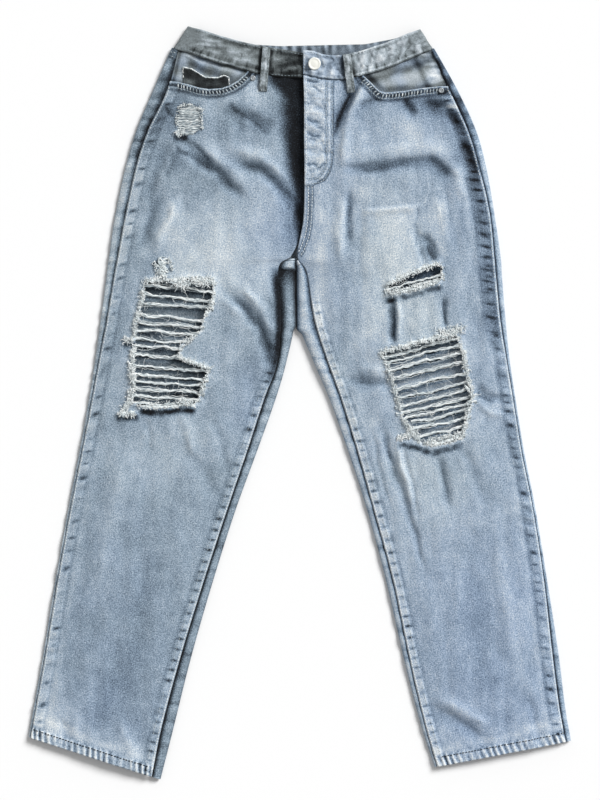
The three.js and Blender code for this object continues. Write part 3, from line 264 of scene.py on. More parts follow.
def hashed(ix, iy, seed):
    h = (ix.astype(np.int64) * 374761393 + iy.astype(np.int64) * 668265263 + seed * 974634757) & 0xFFFFFFFF
    h = ((h ^ (h >> 13)) * 1274126177) & 0xFFFFFFFF
    return ((h ^ (h >> 16)) & 0xFFFFFF) / float(0xFFFFFF)


def noise(x, y, seed):
    x, y = np.broadcast_arrays(np.asarray(x, float), np.asarray(y, float))
    ix, iy = np.floor(x), np.floor(y)
    fx, fy = x - ix, y - iy
    sx = fx ** 3 * (fx * (fx * 6 - 15) + 10)
    sy = fy ** 3 * (fy * (fy * 6 - 15) + 10)

    def corner(dx, dy):
        a = hashed(ix + dx, iy + dy, seed) * 2 * np.pi
        return np.cos(a) * (fx - dx) + np.sin(a) * (fy - dy)

    return 1.5 * mix(mix(corner(0, 0), corner(1, 0), sx), mix(corner(0, 1), corner(1, 1), sx), sy)


def fbm(x, y, seed, octaves=3):
    total, gain = 0.0, 1.0
    for k in range(octaves):
        total = total + gain * noise(np.asarray(x) * 2 ** k, np.asarray(y) * 2 ** k, seed + 31 * k)
        gain *= 0.5
    return total


def to_line(points, X, Y):
    """Signed distance to a plan line (plus on its left), and how far along it, 0 to 1."""
    pts = np.asarray(points, float)
    seg = np.diff(pts, axis=0)
    run = np.hypot(seg[:, 0], seg[:, 1])
    total = run.sum()
    best = np.full(X.shape, 1e9)
    sign = np.ones(X.shape)
    along = np.zeros(X.shape)
    done = 0.0
    for k in range(len(seg)):
        dx, dy = seg[k] / run[k]
        rx, ry = X - pts[k, 0], Y - pts[k, 1]
        t = rx * dx + ry * dy
        lo = -1e9 if k == 0 else 0.0
        hi = 1e9 if k == len(seg) - 1 else run[k]
        tc = np.clip(t, lo, hi)
        d = np.hypot(rx - tc * dx, ry - tc * dy)
        near = d < best
        best = np.where(near, d, best)
        sign = np.where(near, np.sign(dx * ry - dy * rx + 1e-12), sign)
        along = np.where(near, (done + tc) / total, along)
        done += run[k]
    return best * sign, along


def signed(points, X, Y):
    """Distance to a closed plan outline, minus inside it."""
    pts = np.asarray(points, float)
    nxt = np.roll(pts, -1, axis=0)
    best = np.full(X.shape, 1e9)
    inside = np.zeros(X.shape, bool)
    for a, b in zip(pts, nxt):
        d = b - a
        t = np.clip(((X - a[0]) * d[0] + (Y - a[1]) * d[1]) / (d @ d), 0, 1)
        best = np.minimum(best, np.hypot(X - a[0] - t * d[0], Y - a[1] - t * d[1]))
        crosses = (a[1] > Y) != (b[1] > Y)
        with np.errstate(divide="ignore", invalid="ignore"):
            at = a[0] + (Y - a[1]) * d[0] / (d[1] if d[1] else 1e-12)
        inside ^= crosses & (X < at)
    return np.where(inside, -best, best)


def creases(table, X, Y):
    z = np.zeros(X.shape)
    for k, (points, left, right, rise) in enumerate(table):
        off, t = to_line(plan(points), X, Y)
        off = off + 2.2 * noise(X / 24.0, Y / 24.0, 100 + k)
        half = np.where(off > 0, left, right) * (0.85 + 0.3 * noise(t * 3.1, 0.5 + 0 * t, 400 + k))
        ends = smooth((t + 0.22) / 0.4) * smooth((1.22 - t) / 0.4)
        z += rise * np.exp(-(off / half) ** 2) * ends
    return CREASE_GAIN * z


def soft_blobs(table, X, Y):
    tone = np.zeros(X.shape)
    for a, b, ra, rb, lift in table:
        c = P(a, b)
        q = ((X - c[0]) / (ra * UNIT)) ** 2 + ((Y - c[1]) / (rb * UNIT)) ** 2
        tone += lift * np.exp(-q * 0.9)
    return tone


def pucker(s, d, seed, wave=21.0, reach=11.0):
    """Gathers along a seam: s along it, d away from it."""
    phase = s / wave + 0.55 * noise(s / 46.0, 0.5 + 0 * s, seed) + 0.012 * d
    size = 0.55 + 0.75 * noise(s / 33.0, 7.5 + 0 * s, seed + 1)
    return np.sin(2 * np.pi * phase) * np.clip(size, 0.1, 1.4) * np.exp(-(d / reach) ** 2)


def marks(s, d, seed, wave=24.0, at=9.0, reach=5.0, least=0.15, power=4):
    """Short dark marks across a seam allowance, between pale gathers."""
    phase = s / wave + 0.7 * noise(s / 52.0, 0.5 + 0 * s, seed) + 0.010 * d
    size = np.clip(0.85 + 1.0 * noise(s / 29.0, 4.5 + 0 * s, seed + 2), least, 1.4)
    return np.maximum(0, np.sin(2 * np.pi * phase)) ** power * size * np.exp(-((d - at) / reach) ** 2)


# ---------------------------------------------------------------- meshes
def quads(nj, ni):
    j, i = np.meshgrid(np.arange(nj - 1), np.arange(ni - 1), indexing="ij")
    a = (j * ni + i).ravel()
    return np.stack([a, a + 1, a + ni + 1, a + ni], axis=1)


def trim(nj, ni, verts, keep):
    """Cuts a grid along keep = 0 and moves the cut's corners on to the line."""
    k = keep.reshape(nj, ni)
    v = verts.reshape(nj, ni, 3).copy()
    src = v.copy()
    inside = k > 0
    best = np.full((nj, ni), -1.0)
    for dj in (-1, 0, 1):
        for di in (-1, 0, 1):
            if dj == 0 and di == 0:
                continue
            js, je = max(0, -dj), nj - max(0, dj)
            is_, ie = max(0, -di), ni - max(0, di)
            here = (slice(js, je), slice(is_, ie))
            there = (slice(js + dj, je + dj), slice(is_ + di, ie + di))
            kin, kout = k[there], k[here]
            use = (~inside[here]) & inside[there] & (kin > best[here])
            t = kin / np.maximum(kin - kout, 1e-9)
            moved = src[there] + (src[here] - src[there]) * t[..., None]
            v[here] = np.where(use[..., None], moved, v[here])
            best[here] = np.where(use, kin, best[here])
    q = quads(nj, ni)
    return v.reshape(-1, 3), q[inside.ravel()[q].any(axis=1)]


def rims(faces):
    """Edges used once, in the direction of their face."""
    e = np.concatenate([faces[:, [a, (a + 1) % 4]] for a in range(4)])
    e = e[e[:, 0] != e[:, 1]]
    key = np.sort(e, axis=1)
    code = key[:, 0].astype(np.int64) * 10_000_000 + key[:, 1]
    _, inverse, count = np.unique(code, return_inverse=True, return_counts=True)
    return e[count[inverse] == 1]


def hang_rim(verts, faces, extra, depth):
    """Turns the open edges down by depth, so that the cloth shows its thickness."""
    edge = rims(faces)
    used = np.unique(edge)
    index = np.full(len(verts), -1)
    index[used] = len(verts) + np.arange(len(used))
    low = verts[used].copy()
    low[:, 2] -= depth if np.isscalar(depth) else depth[used]
    skirt = np.stack([edge[:, 1], edge[:, 0], index[edge[:, 0]], index[edge[:, 1]]], axis=1)
    return np.concatenate([verts, low]), np.concatenate([faces, skirt]), [np.concatenate([x, x[used]]) for x in extra]


def compact(verts, faces, extra):
    used = np.unique(faces)
    index = np.full(len(verts), -1)
    index[used] = np.arange(len(used))
    return verts[used], index[faces], [x[used] for x in extra]


def put(name, verts, faces, material, tone=None, cloth=None, flat=False, wash=None):
    mesh = bpy.data.meshes.new(name)
    faces = np.asarray(faces)
    verts = np.asarray(verts, float).copy()
    verts[:, 2] = np.maximum(verts[:, 2], 0.05)                # nothing goes through the surface below
    n = faces.shape[1]
    mesh.vertices.add(len(verts))
    mesh.vertices.foreach_set("co", (np.asarray(verts, float) * MM).astype(np.float32).ravel())
    mesh.loops.add(faces.size)
    mesh.loops.foreach_set("vertex_index", faces.astype(np.int32).ravel())
    mesh.polygons.add(len(faces))
    mesh.polygons.foreach_set("loop_start", np.arange(0, faces.size, n, dtype=np.int32))
    mesh.polygons.foreach_set("use_smooth", np.full(len(faces), not flat))
    if tone is not None:
        a = mesh.attributes.new("tone", "FLOAT", "POINT")
        a.data.foreach_set("value", np.asarray(tone, np.float32).ravel())
    if cloth is not None:
        c = np.zeros((len(verts), 3), np.float32)
        c[:, :2] = np.asarray(cloth).reshape(-1, 2)
        a = mesh.attributes.new("cloth", "FLOAT_VECTOR", "POINT")
        a.data.foreach_set("vector", c.ravel())
    if wash is not None:
        a = mesh.attributes.new("wash", "FLOAT", "POINT")
        a.data.foreach_set("value", np.asarray(wash, np.float32).ravel())
    mesh.update(calc_edges=True)
    mesh.validate()
    mesh.materials.append(material)
    o = bpy.data.objects.new(name, mesh)
    bpy.context.scene.collection.objects.link(o)
    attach(o, "root")
    return o


class Heap:
    """Many small things joined into one mesh of quads."""

    def __init__(self):
        self.v, self.f, self.t, self.n = [], [], [], 0

    def add(self, verts, faces, tone):
        self.v.append(verts)
        self.f.append(faces + self.n)
        self.t.append(np.broadcast_to(np.asarray(tone, float), (len(verts),)))
        self.n += len(verts)

    def tube(self, line, radius, tone, sides=4):
        line = np.asarray(line, float)
        m = len(line)
        d = np.gradient(line, axis=0)
        d /= np.maximum(np.linalg.norm(d, axis=1), 1e-9)[:, None]
        up = np.where(np.abs(d[:, 2:3]) > 0.9, np.array([[1.0, 0, 0]]), np.array([[0, 0, 1.0]]))
        a = np.cross(d, up)
        a /= np.maximum(np.linalg.norm(a, axis=1), 1e-9)[:, None]
        b = np.cross(a, d)
        r = np.broadcast_to(np.asarray(radius, float), (m,))
        q = np.arange(sides) / sides * 2 * np.pi + 0.4
        ring = (np.cos(q)[None, :, None] * a[:, None] + np.sin(q)[None, :, None] * b[:, None]) * r[:, None, None]
        verts = (line[:, None] + ring).reshape(-1, 3)
        j, i = np.meshgrid(np.arange(m - 1), np.arange(sides), indexing="ij")
        p, n = (j * sides + i).ravel(), (j * sides + (i + 1) % sides).ravel()
        faces = np.stack([p, p + sides, n + sides, n], axis=1)
        self.add(verts, faces, np.repeat(np.broadcast_to(np.asarray(tone, float), (m,)), sides))

    def put(self, name, material):
        return put(name, np.concatenate(self.v), np.concatenate(self.f), material, np.concatenate(self.t))


def triangles(o):
    return sum(len(p.vertices) - 2 for p in o.data.polygons)


# ---------------------------------------------------------------- materials
def linear(c):
    c = np.asarray(c, float) / 255.0
    return tuple(np.where(c <= 0.04045, c / 12.92, ((c + 0.055) / 1.055) ** 2.4)) + (1.0,)


RAMP_DENIM = [(0.04, (14, 17, 22)), (0.22, (43, 53, 65)), (0.42, (89, 106, 124)), (0.57, (129, 149, 169)),
              (0.68, (161, 178, 195)), (0.79, (190, 200, 208)), (0.93, (231, 234, 235))]
RAMP_WORN = [(0.04, (15, 17, 21)), (0.22, (45, 53, 61)), (0.42, (92, 106, 118)), (0.57, (132, 149, 163)),
             (0.68, (163, 178, 191)), (0.79, (190, 200, 206)), (0.93, (230, 234, 233))]
RAMP_BLUE = [(0.04, (14, 17, 22)), (0.22, (43, 53, 67)), (0.42, (89, 106, 128)), (0.57, (130, 149, 173)),
             (0.68, (160, 177, 199)), (0.79, (188, 199, 211)), (0.93, (230, 234, 236))]
RAMP_GREY = [(0.04, (18, 20, 21)), (0.22, (50, 55, 57)), (0.42, (97, 104, 106)), (0.57, (134, 143, 147)),
             (0.68, (163, 173, 180)), (0.79, (191, 199, 205)), (0.93, (228, 232, 232))]
RAMP_THREAD = [(0.10, (32, 39, 46)), (0.40, (104, 116, 124)), (0.62, (174, 185, 190)), (0.80, (222, 229, 230)), (0.95, (250, 252, 251))]


def node(tree, kind, **inputs):
    n = tree.nodes.new(kind)
    for key, value in inputs.items():
        n.inputs[key].default_value = value
    return n


def math_node(tree, op, a, b):
    n = tree.nodes.new("ShaderNodeMath")
    n.operation = op
    for k, value in enumerate((a, b)):
        if isinstance(value, (int, float)):
            n.inputs[k].default_value = value
        else:
            tree.links.new(value, n.inputs[k])
    return n.outputs[0]


def ramp_node(tree, fac, stops):
    n = tree.nodes.new("ShaderNodeValToRGB")
    el = n.color_ramp.elements
    el[0].position, el[0].color = stops[0][0], linear(stops[0][1])
    el[1].position, el[1].color = stops[-1][0], linear(stops[-1][1])
    for pos, col in stops[1:-1]:
        e = el.new(pos)
        e.color = linear(col)
    tree.links.new(fac, n.inputs[0])
    return n.outputs[0]


def start_material(name):
    m = bpy.data.materials.new(name)
    m.use_nodes = True
    t = m.node_tree
    t.nodes.clear()
    out = t.nodes.new("ShaderNodeOutputMaterial")
    b = t.nodes.new("ShaderNodeBsdfPrincipled")
    t.links.new(b.outputs[0], out.inputs[0])
    return m, t, b


def noise_at(tree, vector, scale, stretch=(1, 1, 1), detail=2.0, rough=0.55):
    mp = tree.nodes.new("ShaderNodeMapping")
    mp.inputs["Scale"].default_value = stretch
    tree.links.new(vector, mp.inputs["Vector"])
    n = node(tree, "ShaderNodeTexNoise", Scale=scale, Detail=detail, Roughness=rough)
    tree.links.new(mp.outputs[0], n.inputs["Vector"])
    return math_node(tree, "SUBTRACT", n.outputs[0], 0.5)


def denim(name, stops, grain=0.85, streak=0.07, mottle=0.17, speck=0.42, bluer=None):
    m, t, b = start_material(name)
    tone = t.nodes.new("ShaderNodeAttribute")
    tone.attribute_name = "tone"
    cloth = t.nodes.new("ShaderNodeAttribute")
    cloth.attribute_name = "cloth"
    vec = cloth.outputs["Vector"]
    fine = noise_at(t, vec, 0.60, (1.0, 0.85, 1.0), 2.0, 0.7)
    warp = noise_at(t, vec, 0.55, (1.0, 0.10, 1.0), 2.0, 0.6)
    slub = noise_at(t, vec, 0.13, (1.0, 0.7, 1.0), 3.0, 0.6)
    broad = noise_at(t, vec, 0.045, (1.0, 0.8, 1.0), 3.0, 0.55)
    dots = noise_at(t, vec, 1.1, (1.0, 1.0, 1.0), 1.0, 0.5)
    value = tone.outputs["Fac"]
    for source, gain in ((fine, grain), (warp, streak), (slub, mottle), (broad, mottle * 0.8), (dots, speck)):
        value = math_node(t, "ADD", value, math_node(t, "MULTIPLY", source, gain))
    colour = ramp_node(t, value, stops)
    if bluer:
        wash = t.nodes.new("ShaderNodeAttribute")
        wash.attribute_name = "wash"
        both = t.nodes.new("ShaderNodeMix")
        both.data_type = "RGBA"
        t.links.new(wash.outputs["Fac"], both.inputs["Factor"])
        t.links.new(colour, both.inputs[6])
        t.links.new(ramp_node(t, value, bluer), both.inputs[7])
        colour = both.outputs[2]
    t.links.new(colour, b.inputs["Base Color"])
    b.inputs["Roughness"].default_value = 0.92
    b.inputs["Specular IOR Level"].default_value = 0.12
    b.inputs["Sheen Weight"].default_value = 0.08
    b.inputs["Sheen Roughness"].default_value = 0.6
    high = math_node(t, "ADD", math_node(t, "MULTIPLY", fine, 1.0), math_node(t, "MULTIPLY", warp, 0.6))
    bump = node(t, "ShaderNodeBump", Strength=0.55, Distance=0.0007)
    t.links.new(high, bump.inputs["Height"])
    t.links.new(bump.outputs[0], b.inputs["Normal"])
    return m


def thread(name, stops, gain=0.22, scale=900.0):
    m, t, b = start_material(name)
    tone = t.nodes.new("ShaderNodeAttribute")
    tone.attribute_name = "tone"
    place = t.nodes.new("ShaderNodeTexCoord")
    fine = noise_at(t, place.outputs["Object"], scale, (1, 1, 1), 2.0, 0.6)
    value = math_node(t, "ADD", tone.outputs["Fac"], math_node(t, "MULTIPLY", fine, gain))
    t.links.new(ramp_node(t, value, stops), b.inputs["Base Color"])
    b.inputs["Roughness"].default_value = 0.95
    b.inputs["Specular IOR Level"].default_value = 0.1
    return m


def metal(name, stops, rough, shine):
    m, t, b = start_material(name)
    place = t.nodes.new("ShaderNodeTexCoord")
    fine = noise_at(t, place.outputs["Object"], 1400.0, (1, 1, 1), 3.0, 0.6)
    wide = noise_at(t, place.outputs["Object"], 220.0, (1, 1, 1), 2.0, 0.6)
    value = math_node(t, "ADD", math_node(t, "MULTIPLY", fine, 0.35), math_node(t, "MULTIPLY", wide, 0.5))
    value = math_node(t, "ADD", value, 0.5)
    t.links.new(ramp_node(t, value, stops), b.inputs["Base Color"])
    b.inputs["Metallic"].default_value = shine
    b.inputs["Roughness"].default_value = rough
    bump = node(t, "ShaderNodeBump", Strength=0.2, Distance=0.0002)
    t.links.new(fine, bump.inputs["Height"])
    t.links.new(bump.outputs[0], b.inputs["Normal"])
    return m


MAT_FRONT = denim("denim_front", RAMP_WORN, streak=0.18, bluer=RAMP_BLUE)
MAT_BACK = denim("denim_back", RAMP_DENIM)
MAT_FRONT_R = denim("denim_front_worn", RAMP_WORN, streak=0.13, bluer=RAMP_BLUE)
MAT_BACK_R = denim("denim_back_worn", RAMP_WORN)
MAT_BAND = denim("denim_band", RAMP_GREY, grain=0.40, mottle=0.24, speck=0.18, bluer=RAMP_BLUE)
MAT_PALE = denim("denim_pale", RAMP_GREY, grain=0.45, mottle=0.16, speck=0.25, bluer=RAMP_BLUE)
MAT_DARK = denim("denim_dark", RAMP_GREY, grain=0.40, mottle=0.14, speck=0.2)
MAT_YARN = thread("white_weft", RAMP_THREAD)
MAT_STITCH = thread("topstitch", RAMP_THREAD, 0.15)
MAT_METAL = metal("satin_metal", [(0.1, (226, 225, 216)), (0.5, (242, 242, 234)), (0.9, (250, 250, 243))], 0.42, 0.2)
MAT_RIVET = metal("worn_rivet", [(0.1, (96, 102, 108)), (0.5, (158, 164, 168)), (0.9, (214, 218, 218))], 0.42, 0.35)


# ---------------------------------------------------------------- surfaces
class Side:
    def __init__(self, name, rows, waist, sign):
        self.name, self.sign, self.waist = name, sign, waist
        self.col = {c: np.array([r[k] for r in rows]) for k, c in enumerate(COLUMNS)}

    def at(self, v):
        return {c: spline(self.col[c], v) for c in COLUMNS}

    def front(self, u, v, over=2.6):
        r = self.at(v)
        c = self.col
        x = mix(r["sideX"], r["innerX"], u)
        y = mix(r["sideY"], r["innerY"], u)
        x0 = mix(c["sideX"][0], c["innerX"][0], u)
        y = y + (height_at(self.waist, x0) + over - mix(c["sideY"][0], c["innerY"][0], u)) * smooth(1 - v / 3)
        dome = 1 - np.abs(2 * u - 1) ** 3
        z = mix(r["zSide"], r["zIn"], u) + (r["zMid"] - mix(r["zSide"], r["zIn"], 0.5)) * dome
        return x, y, z


RIGHT = Side("right", ROWS_RIGHT, WAIST_RIGHT, -1)
LEFT = Side("left", ROWS_LEFT, WAIST_LEFT, 1)


def even_rows(side, count, first=0.0, last=LAST_ROW):
    """Rows evenly spaced along the middle of the panel."""
    v = np.linspace(first, last, 1200)
    x, y, _ = side.front(np.full_like(v, 0.5), v)
    s = np.concatenate([[0], np.cumsum(np.hypot(np.diff(x), np.diff(y)))])
    return np.interp(np.linspace(0, s[-1], count), s, v)


def lengths(X, Y, axis):
    d = np.hypot(np.diff(X, axis=axis), np.diff(Y, axis=axis))
    zero = np.zeros_like(np.take(X, [0], axis=axis))
    return np.concatenate([zero, np.cumsum(d, axis=axis)], axis=axis)


FRONT_TONE = {}


# Deepest lines of the folds, pressed in and darkened as painted shade (a minus fall paints light): plan line, half
# width, fall of tone.
SHARP = {
    "right": [(((190, 139), (201, 151), (213, 165)), 1.6, 0.16), (((176, 146), (180, 152), (190, 156)), 2.6, 0.20), (((227, 103), (236, 110), (247, 119)), 3.4, 0.19),
              (((242, 113), (252, 120), (261, 127), (269, 137)), 3.8, 0.17), (((184, 151), (198, 160), (214, 172)), 4.0, 0.13), (((238, 165), (258, 167), (275, 180), (294, 203)), 4.0, 0.10), (((175, 150), (172, 164), (166, 182)), 3.6, 0.09), (((176, 192), (171, 216), (164, 244)), 3.6, -0.02), (((150, 200), (154, 216), (147, 240)), 4.2, 0.03), (((232, 297), (247, 311), (258, 328)), 3.0, 0.12), (((165, 105), (168, 112), (174, 117)), 2.2, 0.22)],
    "left": [(((305, 80), (312, 82), (320, 83)), 1.8, 0.34), (((311, 85), (316, 89), (321, 94)), 1.5, 0.20), (((305, 95), (310, 95), (315, 98)), 1.6, 0.08), (((312, 107), (318, 107), (325, 111)), 1.8, 0.08),
             (((305, 118), (312, 122), (320, 123)), 1.8, 0.30), (((314, 125), (319, 128), (325, 131)), 1.8, 0.20), (((305, 132), (312, 136), (322, 137)), 2.2, 0.36), (((308, 140), (312, 139), (317, 141)), 1.5, 0.18),
             (((308, 151), (316, 149), (325, 153)), 1.6, 0.08), (((306, 165), (313, 164), (318, 167)), 2.0, 0.36), (((316, 170), (320, 168), (325, 163)), 1.8, 0.30), (((307, 171), (311, 172), (316, 171)), 1.5, 0.16),
             (((321, 99), (324, 106), (324, 116)), 1.5, 0.12), (((320, 140), (324, 146), (325, 156)), 1.5, 0.15),
             (((354, 90), (345, 104), (338, 120), (334, 140)), 2.4, 0.34), (((404, 98), (408, 106), (415, 114)), 4.2, 0.14), (((420, 99), (438, 104), (451, 113), (461, 128)), 5.0, 0.13),
             (((355, 165), (368, 171), (392, 166), (414, 162)), 3.6, 0.12), (((424, 156), (437, 163), (451, 175)), 5.0, 0.11), (((446, 190), (449, 206), (451, 226)), 2.6, 0.09), (((436, 196), (440, 214), (446, 240)), 2.6, -0.06), (((460, 204), (464, 226), (470, 252)), 3.8, 0.09), (((427, 178), (429, 190), (425, 202), (419, 206)), 0.9, -0.11), (((417, 206), (418, 214), (416, 222)), 1.6, 0.13), (((414, 218), (417, 234), (415, 250)), 2.2, 0.12), (((426, 244), (431, 254), (437, 262)), 3.0, 0.20),
             (((350, 186), (349, 206), (348, 224), (350, 244)), 3.0, 0.18), (((389, 303), (390, 322), (391, 343)), 3.8, 0.17), (((394, 302), (395, 322), (394, 345)), 1.4, 0.30), (((443, 297), (444, 312), (446, 329)), 1.5, 0.24),
             (((463, 134), (471, 152), (476, 166), (481, 181)), 4.8, 0.25), (((356, 381), (372, 384), (388, 384)), 3.0, 0.10), (((468, 386), (480, 396), (498, 404)), 2.2, 0.14),
             (((382, 434), (388, 452), (394, 468)), 2.2, 0.12), (((440, 460), (444, 480), (448, 500)), 2.2, 0.10)],
}
# Painted shade in small places: in the holes of the worn patches, under their tufts and under the edges of the rips:
# centre, half widths, change of tone.
SHADE_SPOTS = {
    "right": [(158, 262, 2.2, 2.6, -0.42), (164, 266, 2.6, 2.4, -0.46), (160.5, 270.5, 2.6, 1.8, -0.40), (168, 270, 1.8, 2.0, -0.36), (154.5, 265, 1.6, 3.0, -0.34),
              (189, 120, 11, 14, -0.10), (186, 104.5, 5, 1.8, -0.22), (196, 107, 3, 2.0, -0.24), (179, 113, 2.2, 4, -0.22), (183, 130, 3, 2.0, -0.22), (195, 132, 4, 2, -0.26)],
    "left": [(390, 301, 4.5, 2.4, -0.34), (444, 270, 2.5, 5, -0.20), (383, 356, 2, 3, -0.2)],
}


def front_panel(side, crease_table, fade_light_shade_table, rips, mouth, nv=600, nu=142):
    vs = even_rows(side, nv)
    us = np.linspace(0, 1, nu)
    V, U = np.meshgrid(vs, us, indexing="ij")
    X, Y, Z = side.front(U, V)
    across = lengths(X, Y, 1)
    wide = across[:, -1:]
    d_side, d_in = across, wide - across
    down = lengths(X, Y, 0)
    d_hem = down[-1:, :] - down
    tone = BASE_TONE[side.name] + soft_blobs(fade_light_shade_table, X, Y)

    # folds, then softer unevenness of the lie
    edge = smooth(d_side / 14) * smooth(d_in / 10) * smooth(V / 0.5)
    fold = creases(crease_table, X, Y) * edge
    Z = Z + fold
    # the tone follows the folds, paler on the ridges and darker in the troughs: worn creases and painted light and
    # shade
    tone = tone + 0.029 * np.clip(fold, -7, 4)
    sway = 1.5 * noise(X / 74, Y / 95, 11) + 0.95 * noise(X / 31 + 0.4 * noise(X / 50, Y / 50, 5), Y / 47, 12)
    sway += 0.42 * noise(X / 15, Y / 24, 13) + 0.14 * noise(X / 6.5, Y / 9, 14) + 0.9 * noise(X / 17, Y / 78, 15)
    patchy = mix(0.45, 1.0, smooth((Y - P(0, 470)[1]) / 130.0))
    # tone varies at random across the wash, and follows the unevenness of the lie as painted light and shade
    tone = tone + patchy * (0.050 * noise(X / 42, Y / 52, 16) + 0.035 * noise(X / 18, Y / 26, 17)) + 0.018 * sway * patchy
    Z = Z + sway * smooth(d_side / 25) * smooth(d_in / 22) * smooth(V / 0.7)

    # side seam: allowance under the edge, gathers
    s_side = down[:, :1] + 0 * X
    flat_band = smooth((15 - d_side) / 4.5) * smooth(d_side / 1.2)
    dash = 0.55 * marks(s_side, d_side, 21 + side.sign, (25, 15.5)[side.sign > 0], 9.0, 4.5, 0.35, (4, 3)[side.sign > 0])
    Z = Z + 0.75 * flat_band + (1.0 * pucker(s_side, d_side - 8, 21 + side.sign, 25, 9) - 0.8 * dash) * smooth(V / 0.8)
    along = 402.5 - Y / UNIT
    # painted shade and painted light beside the side seam at given places along it
    if side.sign > 0:
        tone = tone - 0.08 * np.exp(-((d_side - 11) / 6.0) ** 2) * smooth((Y - 275) / 25) * smooth((372 - Y) / 25)
        tone = tone + 0.58 * np.exp(-((X / UNIT + 300 - 451) / 9.0) ** 2 - ((along - 107.5) / 4.0) ** 2)
        tone = tone + 0.10 * np.exp(-((X / UNIT + 300 - 443) / 10.0) ** 2 - ((along - 168) / 7.0) ** 2)
    else:
        tone = tone - 0.14 * np.exp(-((d_side - 7) / 8.0) ** 2) * smooth((along - 98) / 10) * smooth((156 - along) / 10)
        tone = tone + 0.10 * np.exp(-((d_side - 9) / 9.0) ** 2) * smooth((along - 162) / 12) * smooth((245 - along) / 20)
    # the tone follows the gathers (painted light and shade), painted shade in the dents of the dark marks and a painted
    # shadow line at the allowance's edge; paler along the seam's edge and a paler stripe down the lower leg
    tone = tone + 0.05 * pucker(s_side, d_side - 7, 21 + side.sign, 25, 8) - 0.58 * dash - 0.07 * np.exp(-((d_side - 15.5) / 2.6) ** 2)
    tone = tone + 0.12 * np.exp(-(d_side / 2.2) ** 2) + (0.055 if side.sign < 0 else -0.055 * smooth((12.6 - V) / 2.0)) * flat_band
    tone = tone + 0.06 * np.exp(-((d_side - 19) / 6) ** 2) * smooth((V - 9) / 2)

    # inner edge: the fly and centre seam above the fork, the inseam below it
    leg = smooth((V - 6.3) / 0.6)
    plain_run = leg if side.sign > 0 else smooth((V - 7.9) / 0.5)
    s_in = down[:, -1:] + 0 * X
    felled = smooth((13 - d_in) / 4.0) * smooth(d_in / 1.0)
    dash = 0.62 * marks(s_in, d_in, 61 + side.sign, 15, 7.0, 4.4, 0.50, 3) * plain_run
    Z = Z + leg * (1.0 * felled + 0.9 * pucker(s_in, d_in - 7, 61 + side.sign, 24, 8) - 0.8 * dash)
    # the tone follows the gathers (painted light and shade), painted shade in the dents of the dark marks and a painted
    # shadow line at the allowance's edge; paler along the edge and over the felled seam
    tone = tone + leg * (0.05 * pucker(s_in, d_in - 7, 61 + side.sign, 24, 8) - 0.64 * dash - 0.07 * np.exp(-((d_in - 14) / 2.4) ** 2))
    tone = tone + leg * ((0.10, 0.14)[side.sign > 0] * np.exp(-(d_in / 1.9) ** 2) + (0.04, 0.10)[side.sign > 0] * felled)

    if side.name == "left":
        # placket: raised double layer out to the curved stitching
        placket = plan([(333, 60), (333, 150), (331.5, 166), (326, 178), (312, 186), (292, 188)])
        off, _ = to_line(placket, X, Y)
        on = smooth((-off + 1.5) / 3.5) * smooth((Y - P(0, 188)[1]) / 4.0)
        crumple = fbm(X / 17, Y / 9.0, 77)
        nick = np.exp(-(noise(X / 21 + 0.6 * noise(X / 9, Y / 9, 75), Y / 11.0, 79) / 0.11) ** 2) * np.clip(0.55 + 1.5 * noise(X / 14, Y / 18, 81), 0, 1.3)
        Z = Z + 1.1 * on + 1.6 * on * crumple - 0.5 * on * nick
        # painted shade in a line just outside the placket's edge and in the crumple's nicks; the placket paler, more
        # where the crumple rises (painted light)
        tone = tone - 0.12 * np.exp(-((off - 0.6) / 1.6) ** 2) * smooth((Y - P(0, 190)[1]) / 6.0) + on * (0.085 + 0.06 * crumple - 0.10 * nick)
        fly = plan([(304.5, 70), (304.5, 190), (302, 235), (294, 256)])
        off, t = to_line(fly, X, Y)
        Z = Z + 0.5 * np.exp(-((np.abs(off) - 3) / 4.0) ** 2) * (1 - leg)
        # the fly's edge paler, with a faint darker line 9.5 mm from it
        tone = tone + 0.05 * np.exp(-(off / 2.6) ** 2) * (1 - leg) - 0.05 * np.exp(-((np.abs(off) - 9.5) / 2.2) ** 2) * smooth((P(0, 182)[1] - Y) / 6.0) * (1 - leg)
        # ribbed allowance under the hip
        hip = smooth((P(0, 170)[1] - Y) / 14) * smooth((Y - P(0, 356)[1]) / 60)
        ribs = marks(s_side, d_side, 29, 16.5, 12.0, 7.5)
        # painted shade over the allowance, along its edge and in the dents of the ribs
        tone = tone - hip * (0.11 * smooth((25 - d_side) / 6) * smooth((d_side - 2) / 2) + 0.09 * np.exp(-((d_side - 22) / 3.0) ** 2) + 0.34 * ribs)
        Z = Z - 0.7 * hip * ribs
        # painted shadow line along the edge of the seam allowance, carried down the leg
        ridge, t = to_line(plan([(495, 300), (499, 378), (505, 421), (516, 461), (522, 504), (528, 550)]), X, Y)
        tone = tone - 0.10 * np.exp(-(ridge / 3.4) ** 2) * (0.7 + 0.6 * noise(s_side / 16, 0.5 + 0 * X, 8))
        box = plan([(361, 209), (416, 205), (420, 262), (392, 286), (392, 345), (362, 338)])
        tone = tone + 0.060 * smooth((3 - signed(box, X, Y)) / 6)
    else:
